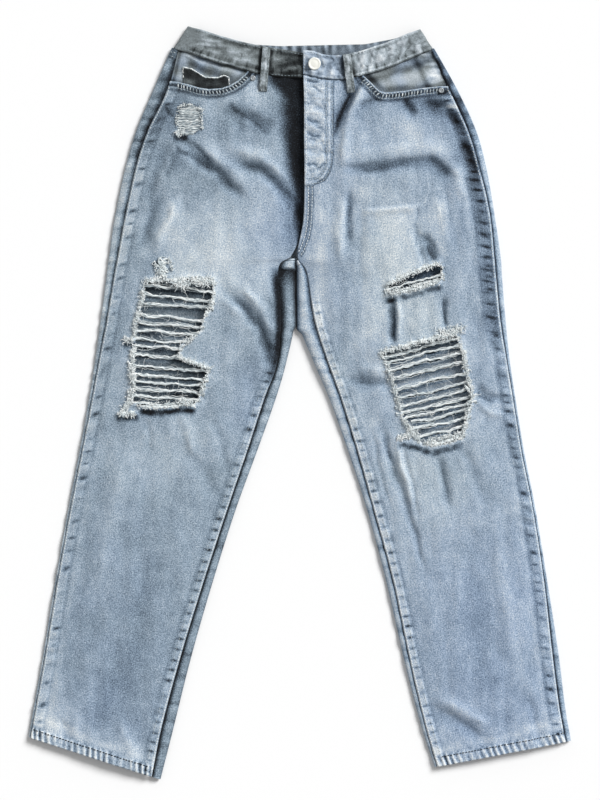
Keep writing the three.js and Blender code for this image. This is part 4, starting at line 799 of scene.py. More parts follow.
        # deep shade beside the fly, where this panel goes under the other
        level = 402.5 - Y / UNIT
        core = np.interp(level, [82, 90, 98, 112, 130, 152, 172, 188, 202, 215, 232, 262], [26, 16, 10, 10, 10, 8, 6.5, 4, 1.5, 4, 2.5, 0])
        soft = np.interp(level, [82, 92, 104, 118, 140, 156, 186, 215, 262], [19, 20, 21, 20, 19, 15, 11, 11, 8])
        under = smooth((X / UNIT + 300 - (304 - core - soft)) / soft) * smooth((Y - P(0, 262)[1]) / 22.0)
        tone = tone - (0.42 + 0.05 * noise(X / 14, Y / 30, 83)) * under - 0.07 * under ** 3
        Z = Z - 2.8 * under
        # the edge rolls down into the fork, with painted shade over the roll
        roll = smooth((16 - d_in) / 15) * smooth((V - 5.7) / 0.7) * smooth((9.4 - V) / 1.8)
        tone = tone - 0.66 * roll ** 1.7
        Z = Z - 1.9 * roll

    # pocket edge: rolled double hem, roped
    mouth_mm = plan(mouth)
    off, t = to_line(mouth_mm, X, Y)
    below = off * (1 if side.name == "right" else -1)          # minus below the mouth
    depth = -below
    mouth_run = np.hypot(*np.diff(mouth_mm, axis=0).T).sum()
    rope = np.sin(2 * np.pi * (t * mouth_run / 4.6 + 0.3 * noise(t * 30, 0.5 + 0 * t, 3)) + depth * 0.30)
    hem_on = smooth((9.2 - depth) / 2.0) * smooth((depth + 1.0) / 1.0) * smooth((2.2 - V) / 0.4)
    Z = Z + hem_on * (1.0 + 0.42 * rope)
    ribbed = smooth((depth - 1.6) / 0.8) * smooth((7.8 - depth) / 0.8) * smooth((2.2 - V) / 0.4)
    # the hem darker between its rows of stitching, and a painted shadow line below it
    tone = tone + hem_on * 0.02 - ribbed * 0.43 - 0.30 * np.exp(-((depth - 11.0) / 2.2) ** 2) * smooth((2.2 - V) / 0.4)

    # hem of the leg: folded band, roped on the slant
    hem_on = smooth((15.5 - d_hem) / 3.0)
    lean = (across - 0.22 * d_hem * side.sign) / 8.2
    rope = np.sin(2 * np.pi * (lean + 0.45 * noise(across / 30, 0.5 + 0 * X, 44)))
    rope = rope * (0.75 + 0.7 * noise(across / 22, 3.5 + 0 * X, 45)) + 0.4 * noise(across / 5, d_hem / 9, 46)
    Z = Z + hem_on * (1.1 + 0.9 * rope)
    # the hem band paler on the ropes' rises and darker between them, as roping wear and as painted light and shade;
    # pale wear above the hem, dark patches along the band's top edge and at its corner by the side seam
    tone = tone + hem_on * (0.045 + 0.31 * rope) + 0.095 * np.exp(-((d_hem - 24) / 10) ** 2) * (1 + noise(across / 24, d_hem / 12, 47)) - 0.30 * np.exp(-((d_hem - 15) / 4.0) ** 2) * np.maximum(0, noise(across / 7, d_hem / 9, 49) - 0.05) - 0.22 * np.exp(-(d_side / 6) ** 2 - ((d_hem - 13) / 5) ** 2)
    tone = tone + 0.08 * np.exp(-(d_hem / 2.2) ** 2)

    # stitch lines pressed into the cloth, with painted shade on both sides of them
    for line in SUNK[side.name]:
        off, t_line = to_line(plan(line), X, Y)
        along = smooth((t_line + 0.02) / 0.03) * smooth((1.02 - t_line) / 0.03)
        Z = Z - 0.45 * np.exp(-(off / 1.6) ** 2) * along
        tone = tone - 0.25 * np.exp(-((np.abs(off) - 1.3) / 0.9) ** 2) * along

    # tuck under the waistband, shade below it
    d_top = down
    Z = np.where(V < 3, mix(Z, np.minimum(Z, 10.4 if side.name == "right" else 12.2), smooth(1 - d_top / 6.0)), Z)
    tone = tone - 0.10 * np.exp(-((d_top - 3) / 4.5) ** 2)

    # rips and pocket mouths
    keep = np.full(X.shape, 50.0)
    for outline in rips:
        d = signed(plan(outline), X, Y)
        ragged = d + 1.5 * noise(X / 4.2, Y / 4.2, 91) + 0.8 * noise(X / 1.9, Y / 1.9, 92)
        keep = np.minimum(keep, ragged)
        curl = np.exp(-(d / 5.5) ** 2)
        Z = Z + curl * (0.9 + 0.9 * noise(X / 8, Y / 8, 93))
        tone = tone + 0.15 * np.exp(-(np.maximum(d, 0) / 3.6) ** 2) * (0.75 + 0.6 * noise(X / 3.5, Y / 3.5, 94))
        tone = tone + 0.10 * np.exp(-(np.maximum(d, 0) / 9.0) ** 2) * (0.35 + 1.3 * noise(X / 6.5, Y / 5.0, 96))
    for points, rise, shade in FLAPS[side.name]:
        off, t_line = to_line(plan(points), X, Y)
        ends = smooth((t_line + 0.06) / 0.12) * smooth((1.06 - t_line) / 0.12) * (0.8 + 0.6 * noise(X / 9, Y / 9, 97))
        Z = Z + rise * ends * np.where(off > 0, np.exp(-(off / 5.0) ** 2), np.exp(-(off / 2.6) ** 2))
        tone = tone - 1.15 * shade * ends * np.exp(-((off + 4.5 + 1.2 * noise(X / 8, Y / 8, 98)) / 3.9) ** 2)
    # painted shade along the deepest lines of the folds
    for points, half, drop_tone in SHARP[side.name]:
        off, t_line = to_line(plan(points), X, Y)
        ends = smooth((t_line + 0.02) / 0.25) * smooth((1.02 - t_line) / 0.25)
        Z = Z - 5.0 * drop_tone * ends * np.exp(-(off / (half * 1.3)) ** 2)
        tone = tone - drop_tone * ends * np.exp(-((off + 0.8 * noise(X / 9, Y / 9, 99)) / half) ** 2)
    for a, b, ra, rb, lift in SHADE_SPOTS[side.name]:
        c = P(a, b)
        tone = tone + lift * np.exp(-(((X - c[0]) / (ra * UNIT)) ** 2 + ((Y - c[1]) / (rb * UNIT)) ** 2))
    in_pocket = (V < 2.4) & (t > 0.01)
    keep = np.minimum(keep, np.where(in_pocket, depth, 50.0))

    verts = np.stack([X, Y, Z], axis=-1).reshape(-1, 3)
    cloth = np.stack([across - 0.5 * wide, down], axis=-1).reshape(-1, 2)
    verts, faces = trim(nv, nu, verts, keep.ravel())
    if side.sign < 0:
        faces = faces[:, ::-1]
    if side.sign > 0:
        faces = faces[:, ::-1]
        faces = faces[:, ::-1]
    thick = np.full(len(verts), 1.3)
    thick[(d_hem < 4).ravel()] = 2.4
    base, table = WASH[side.name]
    wash = np.clip(base + soft_blobs(table, X, Y) + 0.12 * noise(X / 40, Y / 40, 18), 0, 1)
    verts, faces, (tone_v, cloth_v, wash, thick) = compact(verts, faces, [tone.ravel(), cloth, wash.ravel(), thick])
    surface = (verts.copy(), faces.copy())
    verts, faces, (tone_v, cloth_v, wash) = hang_rim(verts, faces, [tone_v, cloth_v, wash], thick)
    o = put("front_" + side.name + "_cloth", verts, faces, MAT_FRONT if side.sign > 0 else MAT_FRONT_R, np.clip(tone_v, 0.02, 0.98), cloth_v, wash=wash)
    return o, surface


def turned(side, v, angle, which, bulge=0.0):
    """Point on a turned edge of the back: angle 0 at the front seam, pi underneath."""
    r = side.at(v)
    dx, dy = r["innerX"] - r["sideX"], r["innerY"] - r["sideY"]
    run = np.hypot(dx, dy)
    dx, dy = dx / run, dy / run
    if which == "side":
        reach, top, ax, ay, way = np.maximum(r["outer"], 2.0), r["zSide"], r["sideX"], r["sideY"], -1.0
        ay = ay + 1.6 * smooth(1 - v / 3)
    else:
        reach, top, ax, ay, way = np.maximum(r["inner"], 2.0), r["zIn"], r["innerX"], r["innerY"], 1.0
        above = v <= APEX_ROW
        reach = np.maximum(np.abs(SEAT_X - r["innerX"]), 2.0)
        reach = np.where(above, reach, mix(np.abs(SEAT_X - r["innerX"]), np.maximum(r["inner"], 2.0), smooth((v - APEX_ROW) / 0.15)))
    top = top - 0.5
    out = reach * np.sin(angle) * way
    z = 0.06 + top / 2 * (1 + np.cos(angle)) + bulge * np.clip(np.cos(angle) + 0.55, 0, 1)
    z = z - 1.5 * np.exp(-(angle / 0.13) ** 2)
    return ax + dx * out, ay + dy * out, z


def yoke_row(k):
    return mix(YOKE_SIDE, YOKE_SEAT, smooth(k))


def back_pieces(side, nv=430, n_turn=18, n_flat=46):
    sgn = side.sign
    ang = np.linspace(0, np.pi, n_turn)
    flat = np.linspace(0, 1, n_flat + 1)[1:]

    def main_grid(v_at, rows):
        cols = []
        for k in range(n_turn + n_flat):
            share = 0.0 if k < n_turn else flat[k - n_turn]
            v = v_at(share, rows)
            if k < n_turn:
                gather = 1.0 * pucker(v * 62, 0 * v, 201 + sgn, 23, 9) + 0.8 * noise(v * 62 / 37, ang[k] * 1.3, 203 + sgn)
                x, y, z = turned(side, v, ang[k], "side", gather)
            else:
                r = side.at(v)
                ex = np.where(v <= APEX_ROW, SEAT_X + sgn * 0.1, r["innerX"])
                c = side.col
                x = mix(r["sideX"], ex, share)
                y = mix(r["sideY"], r["innerY"], share)
                x0 = mix(c["sideX"][0], SEAT_X, share)
                lift = height_at(WAIST_BACK, x0) + 1.5 - mix(c["sideY"][0], c["innerY"][0], share)
                y = y + lift * smooth(1 - v / 3)
                z = 0.06 + 0 * x
            cols.append(np.stack([x, y, z], axis=-1))
        return np.stack(cols, axis=1)

    rows = even_rows(side, nv, YOKE_SIDE)
    slant = lambda v: smooth(1 - (v - YOKE_SIDE) / 3)
    main = main_grid(lambda k, v: v + (yoke_row(k) - YOKE_SIDE) * slant(v), rows)
    out = {"v": [], "f": [], "t": [], "c": []}
    count = 0

    def gather(grid, tone, flip=False):
        nonlocal count
        nj, ni = grid.shape[:2]
        q = quads(nj, ni) + count
        if flip:
            q = q[:, ::-1]
        X, Y = grid[..., 0], grid[..., 1]
        steps = np.linalg.norm(np.diff(grid, axis=1), axis=-1)
        ac = np.concatenate([np.zeros((nj, 1)), np.cumsum(steps, axis=1)], axis=1)
        dn = lengths(X, Y, 0)
        out["v"].append(grid.reshape(-1, 3))
        out["f"].append(q)
        out["t"].append(tone.ravel())
        out["c"].append(np.stack([ac + 300, dn], axis=-1).reshape(-1, 2))
        count += nj * ni

    def back_tone(grid, base, seam):
        X, Y = grid[..., 0], grid[..., 1]
        t = np.full(X.shape, base) + 0.05 * noise(X / 60, Y / 60, 301) + 0.05 * np.exp(-((Y - 250) / 130) ** 2)
        return t

    t = back_tone(main, 0.60, True)
    # painted shadow of each strand on the back cloth under the rips
    for start, end, thick in (STRANDS_RIGHT if sgn < 0 else STRANDS_LEFT):
        off, k = to_line(np.array([P(*start), P(*end)]), main[..., 0], main[..., 1])
        inside = smooth((k + 0.03) / 0.06) * smooth((1.03 - k) / 0.06) * (main[..., 2] < 0.5)
        t = t + inside * ((-0.32 * np.exp(-((off + 3.4) / 3.0) ** 2)) if sgn < 0 else (-0.34 * np.exp(-((off + 2.5) / 1.8) ** 2)))
    # the back paler inside the left rip; painted shade inside the slit
    if sgn > 0:
        t = t + 0.08 * smooth((5 - signed(plan(RIP_LEFT), main[..., 0], main[..., 1])) / 5) * (main[..., 2] < 0.5)
        t = t - 0.22 * smooth((4 - signed(plan(SLIT_LEFT), main[..., 0], main[..., 1])) / 4) * (main[..., 2] < 0.5)
    run = lengths(main[..., 0], main[..., 1], 0)[:, :1]
    turn_on = np.zeros(n_turn + n_flat)
    turn_on[:n_turn] = np.clip(np.cos(ang) + 0.4, 0, 1)
    # the turned edge a little paler, paler on its gathers (painted light), with dark marks between them
    t = t + turn_on[None] * ((0.10 if sgn < 0 else 0.03) + 0.06 * pucker(rows[:, None] * 62, 0 * run, 201 + sgn, 23, 9) - 0.10 * marks(rows[:, None] * 62, 0 * run, 207 + sgn, 21, 0, 9))
    # painted shade: a dark line along the seam where the turned edge meets the front
    t = t - 0.48 * np.exp(-(np.arange(n_turn + n_flat) / 1.7) ** 2)[None]
    shade = np.interp(402.5 - main[..., 1] / UNIT, [60, 100, 125, 150, 166, 190, 206], [0.24, 0.20, 0.26, 0.30, 0.12, -0.04, 0.0] if sgn < 0 else [0.28, 0.27, 0.16, 0.02, -0.03, -0.03, 0.0]) * turn_on[None]
    t = t - shade * (0.8 + 0.8 * noise(main[..., 1] / 16, main[..., 0] / 14, 311))
    hem_run = run[-1] - run
    t = t + 0.07 * np.exp(-(hem_run / 2.5) ** 2) - 0.06 * np.exp(-((hem_run - 15) / 2.5) ** 2)
    gather(main, t, sgn > 0)

    def strip(v, q):
        """Turned edge beside the inseam, from the fork down."""
        V, Q = np.meshgrid(v, q, indexing="ij")
        run = V * 62
        gathers = pucker(run, 0 * V, 231 + sgn, 22, 9) * (1.0 if sgn < 0 else 1.0 - 0.65 * smooth((10.0 - V) / 1.5))
        X, Y, Z = turned(side, V, Q, "inner", 0.9 * gathers + 0.7 * noise(run / 40, 0.7 * Q, 233 + sgn))
        half = np.clip(Q / (np.pi / 2), 0, 2)
        ridge = np.sin(np.pi * np.clip(half, 0, 1) ** 0.8)
        high = smooth((V - 5.2) / 0.3) * smooth((10.2 - V) / 2.6)
        Z = Z + ridge * (0.4 + 2.6 * high)
        above = smooth((APEX_ROW + 0.35 - V) / 0.5)
        deep = np.exp(-((half - 1) / 0.32) ** 2) * above
        Z = Z - 1.6 * deep
        # folded corner of the fork and the hollow under it
        past = V - (5.98 + 0.16 * half if sgn < 0 else 5.62 + 0.10 * half) + 0.05 * noise(half * 2.3, V * 4, 237)
        lip = smooth(-past / 0.08) * smooth(half / 0.25)
        hollow = smooth((past + 0.02) / 0.06) * np.exp(-np.maximum(past, 0) / (0.16 + 0.50 * half)) * (1.0 if sgn < 0 else 0.2)
        hollow = hollow * smooth(half / 0.15)
        Z = Z + 2.2 * lip - 1.8 * hollow
        swing = noise(half * 1.2 + V * 1.7, V * 2.6, 239 + sgn)
        Z = Z + 0.9 * swing * above
        base = mix(0.53 - 0.065 * smooth((V - 9.6) / 2.0) if sgn < 0 else 0.63 + 0.07 * smooth((10.6 - V) / 2.0), 0.57 if sgn < 0 else 0.68, above)
        groove = np.exp(-(half / mix(0.15, 0.20 if sgn < 0 else 0.16, above)) ** 2)
        # painted light on the ridge and the lip; painted shade in the seam groove, the crevice between the strips, the
        # hollow under the lip and on the half turning under below the fork; the tone follows the gathers and swing as
        # painted light and shade
        t = base + 0.08 * ridge + 0.06 * gathers * (1 - 0.7 * above) + 0.05 * swing * above - 0.48 * groove - 0.50 * deep
        t = t - 0.10 * (1 - above) * marks(run, 0 * V, 235 + sgn, 22, 0, 9) + 0.10 * lip * (1 - deep) - 0.56 * hollow
        t = t - (0.10 if sgn < 0 else 0.06) * smooth((half - 0.5) / 0.5) * (1 - above)
        return np.stack([X, Y, Z], axis=-1), t

    grid, t = strip(even_rows(side, 330, APEX_ROW), np.linspace(np.pi, 0, 30))
    gather(grid, t, sgn > 0)
    grid, t = strip(np.linspace(FORK_ROW - 0.05, APEX_ROW, 100), np.linspace(np.pi / 2, 0, 26))
    gather(grid, t, sgn > 0)

    faces = np.concatenate(out["f"])
    back = put("back_" + side.name + "_cloth", np.concatenate(out["v"]), faces, MAT_BACK if sgn > 0 else MAT_BACK_R,
               np.clip(np.concatenate(out["t"]), 0.02, 0.98), np.concatenate(out["c"]))

    share_rows = np.linspace(0, 1, 26)
    grid = main_grid(lambda k, s: yoke_row(k) * s, share_rows)
    t = back_tone(grid, 0.55, True) - 0.08 * np.exp(-((1 - share_rows) / 0.08) ** 2)[:, None] - 0.22 * turn_on[None]
    nj, ni = grid.shape[:2]
    q = quads(nj, ni)
    if sgn > 0:
        q = q[:, ::-1]
    ac = lengths(grid[..., 0], grid[..., 1], 1)
    dn = lengths(grid[..., 0], grid[..., 1], 0)
    yoke = put("yoke_" + side.name + "_cloth", grid.reshape(-1, 3), q, MAT_BACK if sgn > 0 else MAT_BACK_R, np.clip(t, 0.02, 0.98).ravel(),
               np.stack([ac + 700, dn], axis=-1).reshape(-1, 2))
    return back, yoke


# ---------------------------------------------------------------- waistband
BAND_COLUMNS = ("upX", "upY", "lowX", "lowY", "z")
BAND_UNDER = [
    (27.0, 470.0, 27.0, 437.5, 9.4), (4.0, 472.0, 5.0, 438.0, 9.7), (-20.0, 476.0, -17.0, 438.5, 10.4),
    (-38.0, 478.5, -40.0, 440.2, 11.0), (-56.5, 482.0, -61.0, 444.5, 11.2), (-81.0, 487.5, -90.0, 452.3, 11.2),
    (-108.0, 495.0, -121.0, 460.9, 10.8), (-133.0, 503.4, -150.0, 472.2, 9.8),
]
BAND_BACK = [
    (-115.0, 495.5, -125.0, 462.0, 1.3), (-67.5, 484.5, -70.0, 450.5, 1.3), (-27.0, 482.0, -27.0, 448.0, 1.3),
    (40.5, 483.5, 40.0, 449.5, 1.3), (88.0, 484.5, 91.0, 451.0, 1.3), (128.0, 492.0, 136.0, 460.0, 1.3),
]
BAND_UPPER = [
    (146.0, 498.6, 160.0, 469.0, 9.8), (119.0, 486.5, 129.5, 455.5, 11.2), (101.0, 480.5, 108.0, 448.0, 11.8),
    (83.5, 474.5, 87.0, 442.0, 12.4), (58.0, 468.5, 56.5, 434.0, 13.4), (40.5, 468.0, 37.5, 435.5, 13.8),
    (28.5, 470.0, 27.0, 437.3, 14.0), (17.0, 474.5, 15.0, 439.4, 14.1), (4.0, 474.8, 4.5, 442.0, 14.2),
]
TURN_RIGHT = ((-152.5, 509.5), (-172.0, 479.5), -1)
TURN_LEFT = ((163.5, 505.5), (181.0, 478.0), 1)


def band_turn(turn, from_high):
    up, low, sign = np.array(turn[0]), np.array(turn[1]), turn[2]
    d = (up - low) / np.linalg.norm(up - low)
    n = np.array([-d[1], d[0]])
    n = n if n[0] * sign > 0 else -n
    high, base, wall = 8.6, 1.3, 2.6
    radius, mid = (high - base) / 2, (high + base) / 2
    rows = []
    for a in np.linspace(0, np.pi, 13):
        reach = math.sin(a) * radius - radius - wall / 2
        u, l = up + n * reach, low + n * reach
        rows.append((u[0], u[1], l[0], l[1], mid + (1 if from_high else -1) * math.cos(a) * radius))
    return rows


def waistband():
    ring = np.array(BAND_UNDER + band_turn(TURN_RIGHT, True) + BAND_BACK + band_turn(TURN_LEFT, False) + BAND_UPPER)
    mid = np.stack([(ring[:, 0] + ring[:, 2]) / 2, (ring[:, 1] + ring[:, 3]) / 2, ring[:, 4]], axis=1)
    s = np.concatenate([[0], np.cumsum(np.linalg.norm(np.diff(mid, axis=0), axis=1))])
    n = int(s[-1] / 1.5)
    at = np.linspace(0, s[-1], n)
    rows = np.stack([np.interp(at, s, ring[:, k]) for k in range(5)], axis=1)
    width = 3
    kernel = np.exp(-(np.arange(-6, 7) / width) ** 2)
    kernel /= kernel.sum()
    padded = np.concatenate([2 * rows[:1] - rows[6:0:-1], rows, 2 * rows[-1:] - rows[-2:-8:-1]])
    rows = np.stack([np.convolve(padded[:, k], kernel, "valid") for k in range(5)], axis=1)
    up = np.stack([rows[:, 0], rows[:, 1], rows[:, 4]], axis=1)
    low = np.stack([rows[:, 2], rows[:, 3], rows[:, 4]], axis=1)
    along = np.gradient((up + low) / 2, axis=0)
    along /= np.linalg.norm(along, axis=1)[:, None]
    rise = (up - low) / np.linalg.norm(up - low, axis=1)[:, None]
    normal = np.cross(rise, along)
    normal /= np.linalg.norm(normal, axis=1)[:, None]
    # outside of the ring is up on the front run
    if normal[5, 2] < 0:
        normal = -normal
    # section: outside from lower to upper edge, round the edge, back down inside
    outer = [(t, 1.0) for t in np.linspace(0.03, 0.97, 22)]
    top = [(1.0, 0.55), (1.005, 0.0), (1.0, -0.55)]
    inner = [(t, -1.0) for t in np.linspace(0.97, 0.03, 9)]
    foot = [(0.0, -0.55), (-0.005, 0.0), (0.0, 0.55)]
    section = outer + top + inner + foot
    where = at - s[7]
    front_right = smooth((s[7] + 10 - at) / 20)
    start_upper = s[len(BAND_UNDER) + 13 + len(BAND_BACK) + 12]
    front_left = smooth((at - start_upper + 10) / 20)
    on_front = np.maximum(front_right, front_left)
    grid, tones, washes = [], [], []
    for t, side in section:
        q = low + (up - low) * t
        half = 1.3
        d = np.minimum(t, 1 - t) * 34
        wave = 0.7 * pucker(at, np.full(n, t * 34 - 4), 501, 13.5, 6) + 0.4 * pucker(at + 60, np.full(n, t * 34 - 30), 503, 15.0, 6)
        long_folds = 1.2 * noise(at / 34 + t * 1.3, np.full(n, t * 3.1), 505) + 0.7 * noise(at / 15 + t * 1.5, np.full(n, t * 4.6), 507)
        puffs = 1.0 * noise(at / 15, np.full(n, t * 1.9), 515) + 0.9 * noise(at / 9.5 + t * 1.4, np.full(n, t * 2.7), 517)
        long_folds = long_folds + 2.2 * (0.26 - np.abs(noise(at / 27 + t * 1.7, np.full(n, t * 3.0), 521)))
        bend = mix(long_folds, puffs, front_left)
        seam_dash = marks(at, np.full(n, t * 34), 519, 11.0, 6.0, 4.0)
        crush = mix(1.35, 1.8, front_left)
        crink = 0.32 - np.abs(noise(at / 11 + t * 1.1, np.full(n, t * 2.2), 509))
        crink = crink + 0.5 * (0.30 - np.abs(noise(at / 6.5 - t * 1.7, np.full(n, 5 + t * 2.6), 510)))
        dent = np.exp(-(noise(at / 12.5 + 0.9 * t, np.full(n, t * 2.3), 523) / 0.10) ** 2) * np.clip(0.5 + 1.4 * noise(at / 19, np.full(n, t * 1.5), 525), 0, 1.2) * smooth((t - 0.12) / 0.12)
        lift = on_front * (-0.8 * dent + 1.1 * wave + 1.15 * bend * crush + mix(0.5, 1.7, front_left) * crink * crush)
        grid.append(q + normal * (side * half + lift)[:, None])
        # tone of the band: on the right front darker towards the fly (painted shade beside the fly), on the left front
        # paler round its middle; painted light and shade follow its folds, puffs, crinkles and dents; dark marks along
        # the lower seam, a painted shadow line at that seam with a pale line above it, a darker line 4.8 mm in from
        # each edge and paler edges
        tone = 0.50 + 0.0 * at
        tone = mix(tone, 0.52 + 0.03 * smooth((P(240, 0)[0] - q[:, 0]) / 60) - 0.28 * smooth((q[:, 0] - P(266, 0)[0]) / 30), front_right)
        tone = mix(tone, 0.645 + 0.07 * np.exp(-((q[:, 0] - P(368, 0)[0]) / 30) ** 2), front_left)
        tone = tone + on_front * (0.13 * bend * np.sign(side + 0.1) + 0.12 * wave + mix(0.06, 0.16, front_left) * crink - 0.24 * seam_dash - mix(0.13, 0.20, front_left) * dent) - 0.40 * on_front * np.exp(-((t * 34 - 0.4) / 1.5) ** 2) + 0.15 * on_front * np.exp(-((t * 34 - 3.4) / 1.2) ** 2)
        tone = tone - 0.12 * np.exp(-((d - 4.8) / 1.5) ** 2) * on_front + 0.09 * np.exp(-(d / 1.6) ** 2) * on_front
        # painted shadow on the band beside the belt loops
        for loop in (((-45.0, 479.5), (-50.0, 420.0)), ((63.0, 469.5), (69.0, 418.0))):
            off, _ = to_line(np.array(loop), q[:, 0], q[:, 1])
            tone = tone - on_front * (0.32 * np.exp(-((np.abs(off) - 7.0) / 2.4) ** 2))
        if side < 0:
            tone = 0.475 + 0.26 * noise(at / 8, np.full(n, t * 2.0), 511) + 0.24 * pucker(at, np.full(n, t * 34 - 30), 513, 11.0, 12)
        tones.append(tone)
        washes.append(front_left * (0.06 + 0.55 * smooth((P(354, 0)[0] - q[:, 0]) / 18)) if side > -0.6 else 0.40 + 0 * at)
    grid, tones, washes = np.stack(grid, axis=1), np.stack(tones, axis=1), np.stack(washes, axis=1)
    m = len(section)
    j, i = np.meshgrid(np.arange(n - 1), np.arange(m), indexing="ij")
    a, b = (j * m + i).ravel(), (j * m + (i + 1) % m).ravel()
    faces = np.stack([a, b, b + m, a + m], axis=1)
    verts = grid.reshape(-1, 3)
    caps = []
    for row in (0, n - 1):
        k = row * m
        for c in range(14):
            hi0, hi1 = c, c + 1
            lo0 = min(m - 1, 33 - int(round(c * 9 / 14)))
            lo1 = min(m - 1, 33 - int(round((c + 1) * 9 / 14)))
            caps.append([k + hi0, k + hi1, k + lo1, k + lo0])
    ends = []
    for row in (0, n - 1):
        centre = len(verts)
        verts = np.concatenate([verts, grid[row].mean(axis=0)[None]])
        tones = np.concatenate([tones.ravel(), [tones.reshape(-1)[row * m]]])
        for c in range(m):
            ends.append([row * m + c, row * m + (c + 1) % m, centre, centre])
    ac = np.concatenate([np.repeat(at, m), [0, at[-1]]])
    dn = np.concatenate([np.tile(np.array([t * 34 + (0 if sd > 0 else 50) for t, sd in section]), n), [0, 0]])
    cloth = np.stack([dn, ac], axis=-1)
    tris = np.array(ends)
    o = put("waistband_cloth", verts, faces, MAT_BAND, np.clip(tones.ravel(), 0.02, 0.98), cloth, wash=np.concatenate([washes.ravel(), [0.1, 0.1]]))
    # end caps as triangles in the same mesh
    mesh = o.data
    caps_mesh = tris[:, :3]
    base = len(mesh.polygons)
    mesh.loops.add(caps_mesh.size)
    mesh.polygons.add(len(caps_mesh))
    starts = np.zeros(base + len(caps_mesh), np.int32)
    mesh.polygons.foreach_get("loop_start", starts)
    starts[base:] = faces.size + np.arange(len(caps_mesh)) * 3
    mesh.polygons.foreach_set("loop_start", starts)
    loops = np.concatenate([faces.ravel(), caps_mesh.ravel()]).astype(np.int32)
    mesh.loops.foreach_set("vertex_index", loops)
    mesh.update(calc_edges=True)
    mesh.validate()
    return o


# ---------------------------------------------------------------- build the cloth
front_right, surf_right = front_panel(RIGHT, CREASES_RIGHT, FADES_LIGHT_AND_SHADE_RIGHT, [RIP_RIGHT], MOUTH_RIGHT)
front_left, surf_left = front_panel(LEFT, CREASES_LEFT, FADES_LIGHT_AND_SHADE_LEFT, [SLIT_LEFT, RIP_LEFT], MOUTH_LEFT)
back_right, yoke_right = back_pieces(RIGHT)
back_left, yoke_left = back_pieces(LEFT)
band = waistband()


def bvh_of(*objects):
    verts, faces = [], []
    for o in objects:
        base = len(verts)
        verts += [v.co[:] for v in o.data.vertices]
        faces += [[base + k for k in p.vertices] for p in o.data.polygons]
    return BVHTree.FromPolygons(verts, faces)


def drop(tree, x, y, default=None):
    hit = tree.ray_cast(Vector((x * MM, y * MM, 0.2)), Vector((0, 0, -1)))
    return hit[0].z / MM if hit[0] is not None else default


def facing(side, name, u_end, base, v_end=1.45):
    nv, nu = 60, 90
    V, U = np.meshgrid(np.linspace(0, v_end, nv), np.linspace(0.006, u_end, nu), indexing="ij")
    X, Y, Z = side.front(U, V)
    Z = Z - 2.6 - 0.9 * smooth((V - 0.2) / 0.8) + 1.7 * noise(X / 30, Y / 18, 611 + side.sign) + 0.5 * noise(X / 11, Y / 9, 613)
    mouth_off, _ = to_line(plan(MOUTH_RIGHT if side.name == "right" else MOUTH_LEFT), X, Y)
    hidden = mouth_off * (-1 if side.name == "right" else 1)
    Z = Z - 5.5 * smooth((hidden - 1.0) / 10.0)
    # painted shadow just under the pocket's edge
    tone = np.full(X.shape, base) + 0.09 * noise(X / 25, Y / 14, 615) - 0.20 * np.exp(-((hidden + 1.5) / 3.5) ** 2)
    if side.name == "left":
        # painted shade under the waistband with a paler band lower down; painted shade in streaks and a fold along the
        # side seam, and above the pocket's edge
        tone = tone - 0.13 * np.exp(-((V * 55 - 3) / 5.0) ** 2) - 0.25 * np.exp(-((V * 55 - 12 - 3 * noise(X / 25, 0.5 + 0 * X, 623)) / 5.0) ** 2) + 0.05 * np.exp(-((V * 55 - 26) / 8.0) ** 2)
        from_side = lengths(X, Y, 1)
        tone = tone - (0.26 * noise(Y / 5, X / 22, 617) - 0.02) * smooth((20 - from_side) / 6.0) - 0.24 * np.exp(-((from_side - 24) / 4.2) ** 2) - 0.22 * np.exp(-(from_side / 3.0) ** 2)
        tone = tone - 0.24 * np.exp(-((hidden + 5.5) / 3.4) ** 2) * smooth((from_side - 38) / 16)
    else:
        a = X / UNIT + 300
        fall = (height_at(WAIST_RIGHT, X) - Y) / UNIT + 1.4 * noise(X / 16, Y / 20, 619)
        # painted shade just under the waistband, over the coin pocket, in a diagonal and along the side, with a paler
        # streak below the waistband
        tone = tone - 0.30 * np.exp(-(fall / 1.4) ** 2) + 0.10 * np.exp(-((fall - 4.2) / 2.0) ** 2) - 0.36 * np.exp(-((fall - 11) / 5.0) ** 2) * smooth((a - 184) / 9) * smooth((238 - a) / 12)
        tone = tone - 0.22 * np.exp(-((fall - 4.5 - 0.1 * (a - 180)) / 1.6) ** 2 - ((a - 188) / 9) ** 2) - 0.28 * np.exp(-((lengths(X, Y, 1) - 3) / 3.0) ** 2)
    ac, dn = lengths(X, Y, 1), lengths(X, Y, 0)
    q = quads(nv, nu)
    q = q if side.sign > 0 else q[:, ::-1]
    return put("facing_" + side.name + "_cloth", np.stack([X, Y, Z], -1).reshape(-1, 3), q, MAT_PALE,
               np.clip(tone, 0.02, 0.98).ravel(), np.stack([ac + 1000, dn], -1).reshape(-1, 2), wash=np.clip(0.18 + 0.5 * noise(X / 18, Y / 18, 625), 0, 1).ravel())


facing_right = facing(RIGHT, "right", 0.62, 0.640)
facing_left = facing(LEFT, "left", 0.62, 0.645)
tree_facing = bvh_of(facing_right)

COIN_TOP = [(183, 67), (191.6, 69), (199, 73.4), (205, 77.3), (217, 78), (224, 75.5), (229, 77.3)]


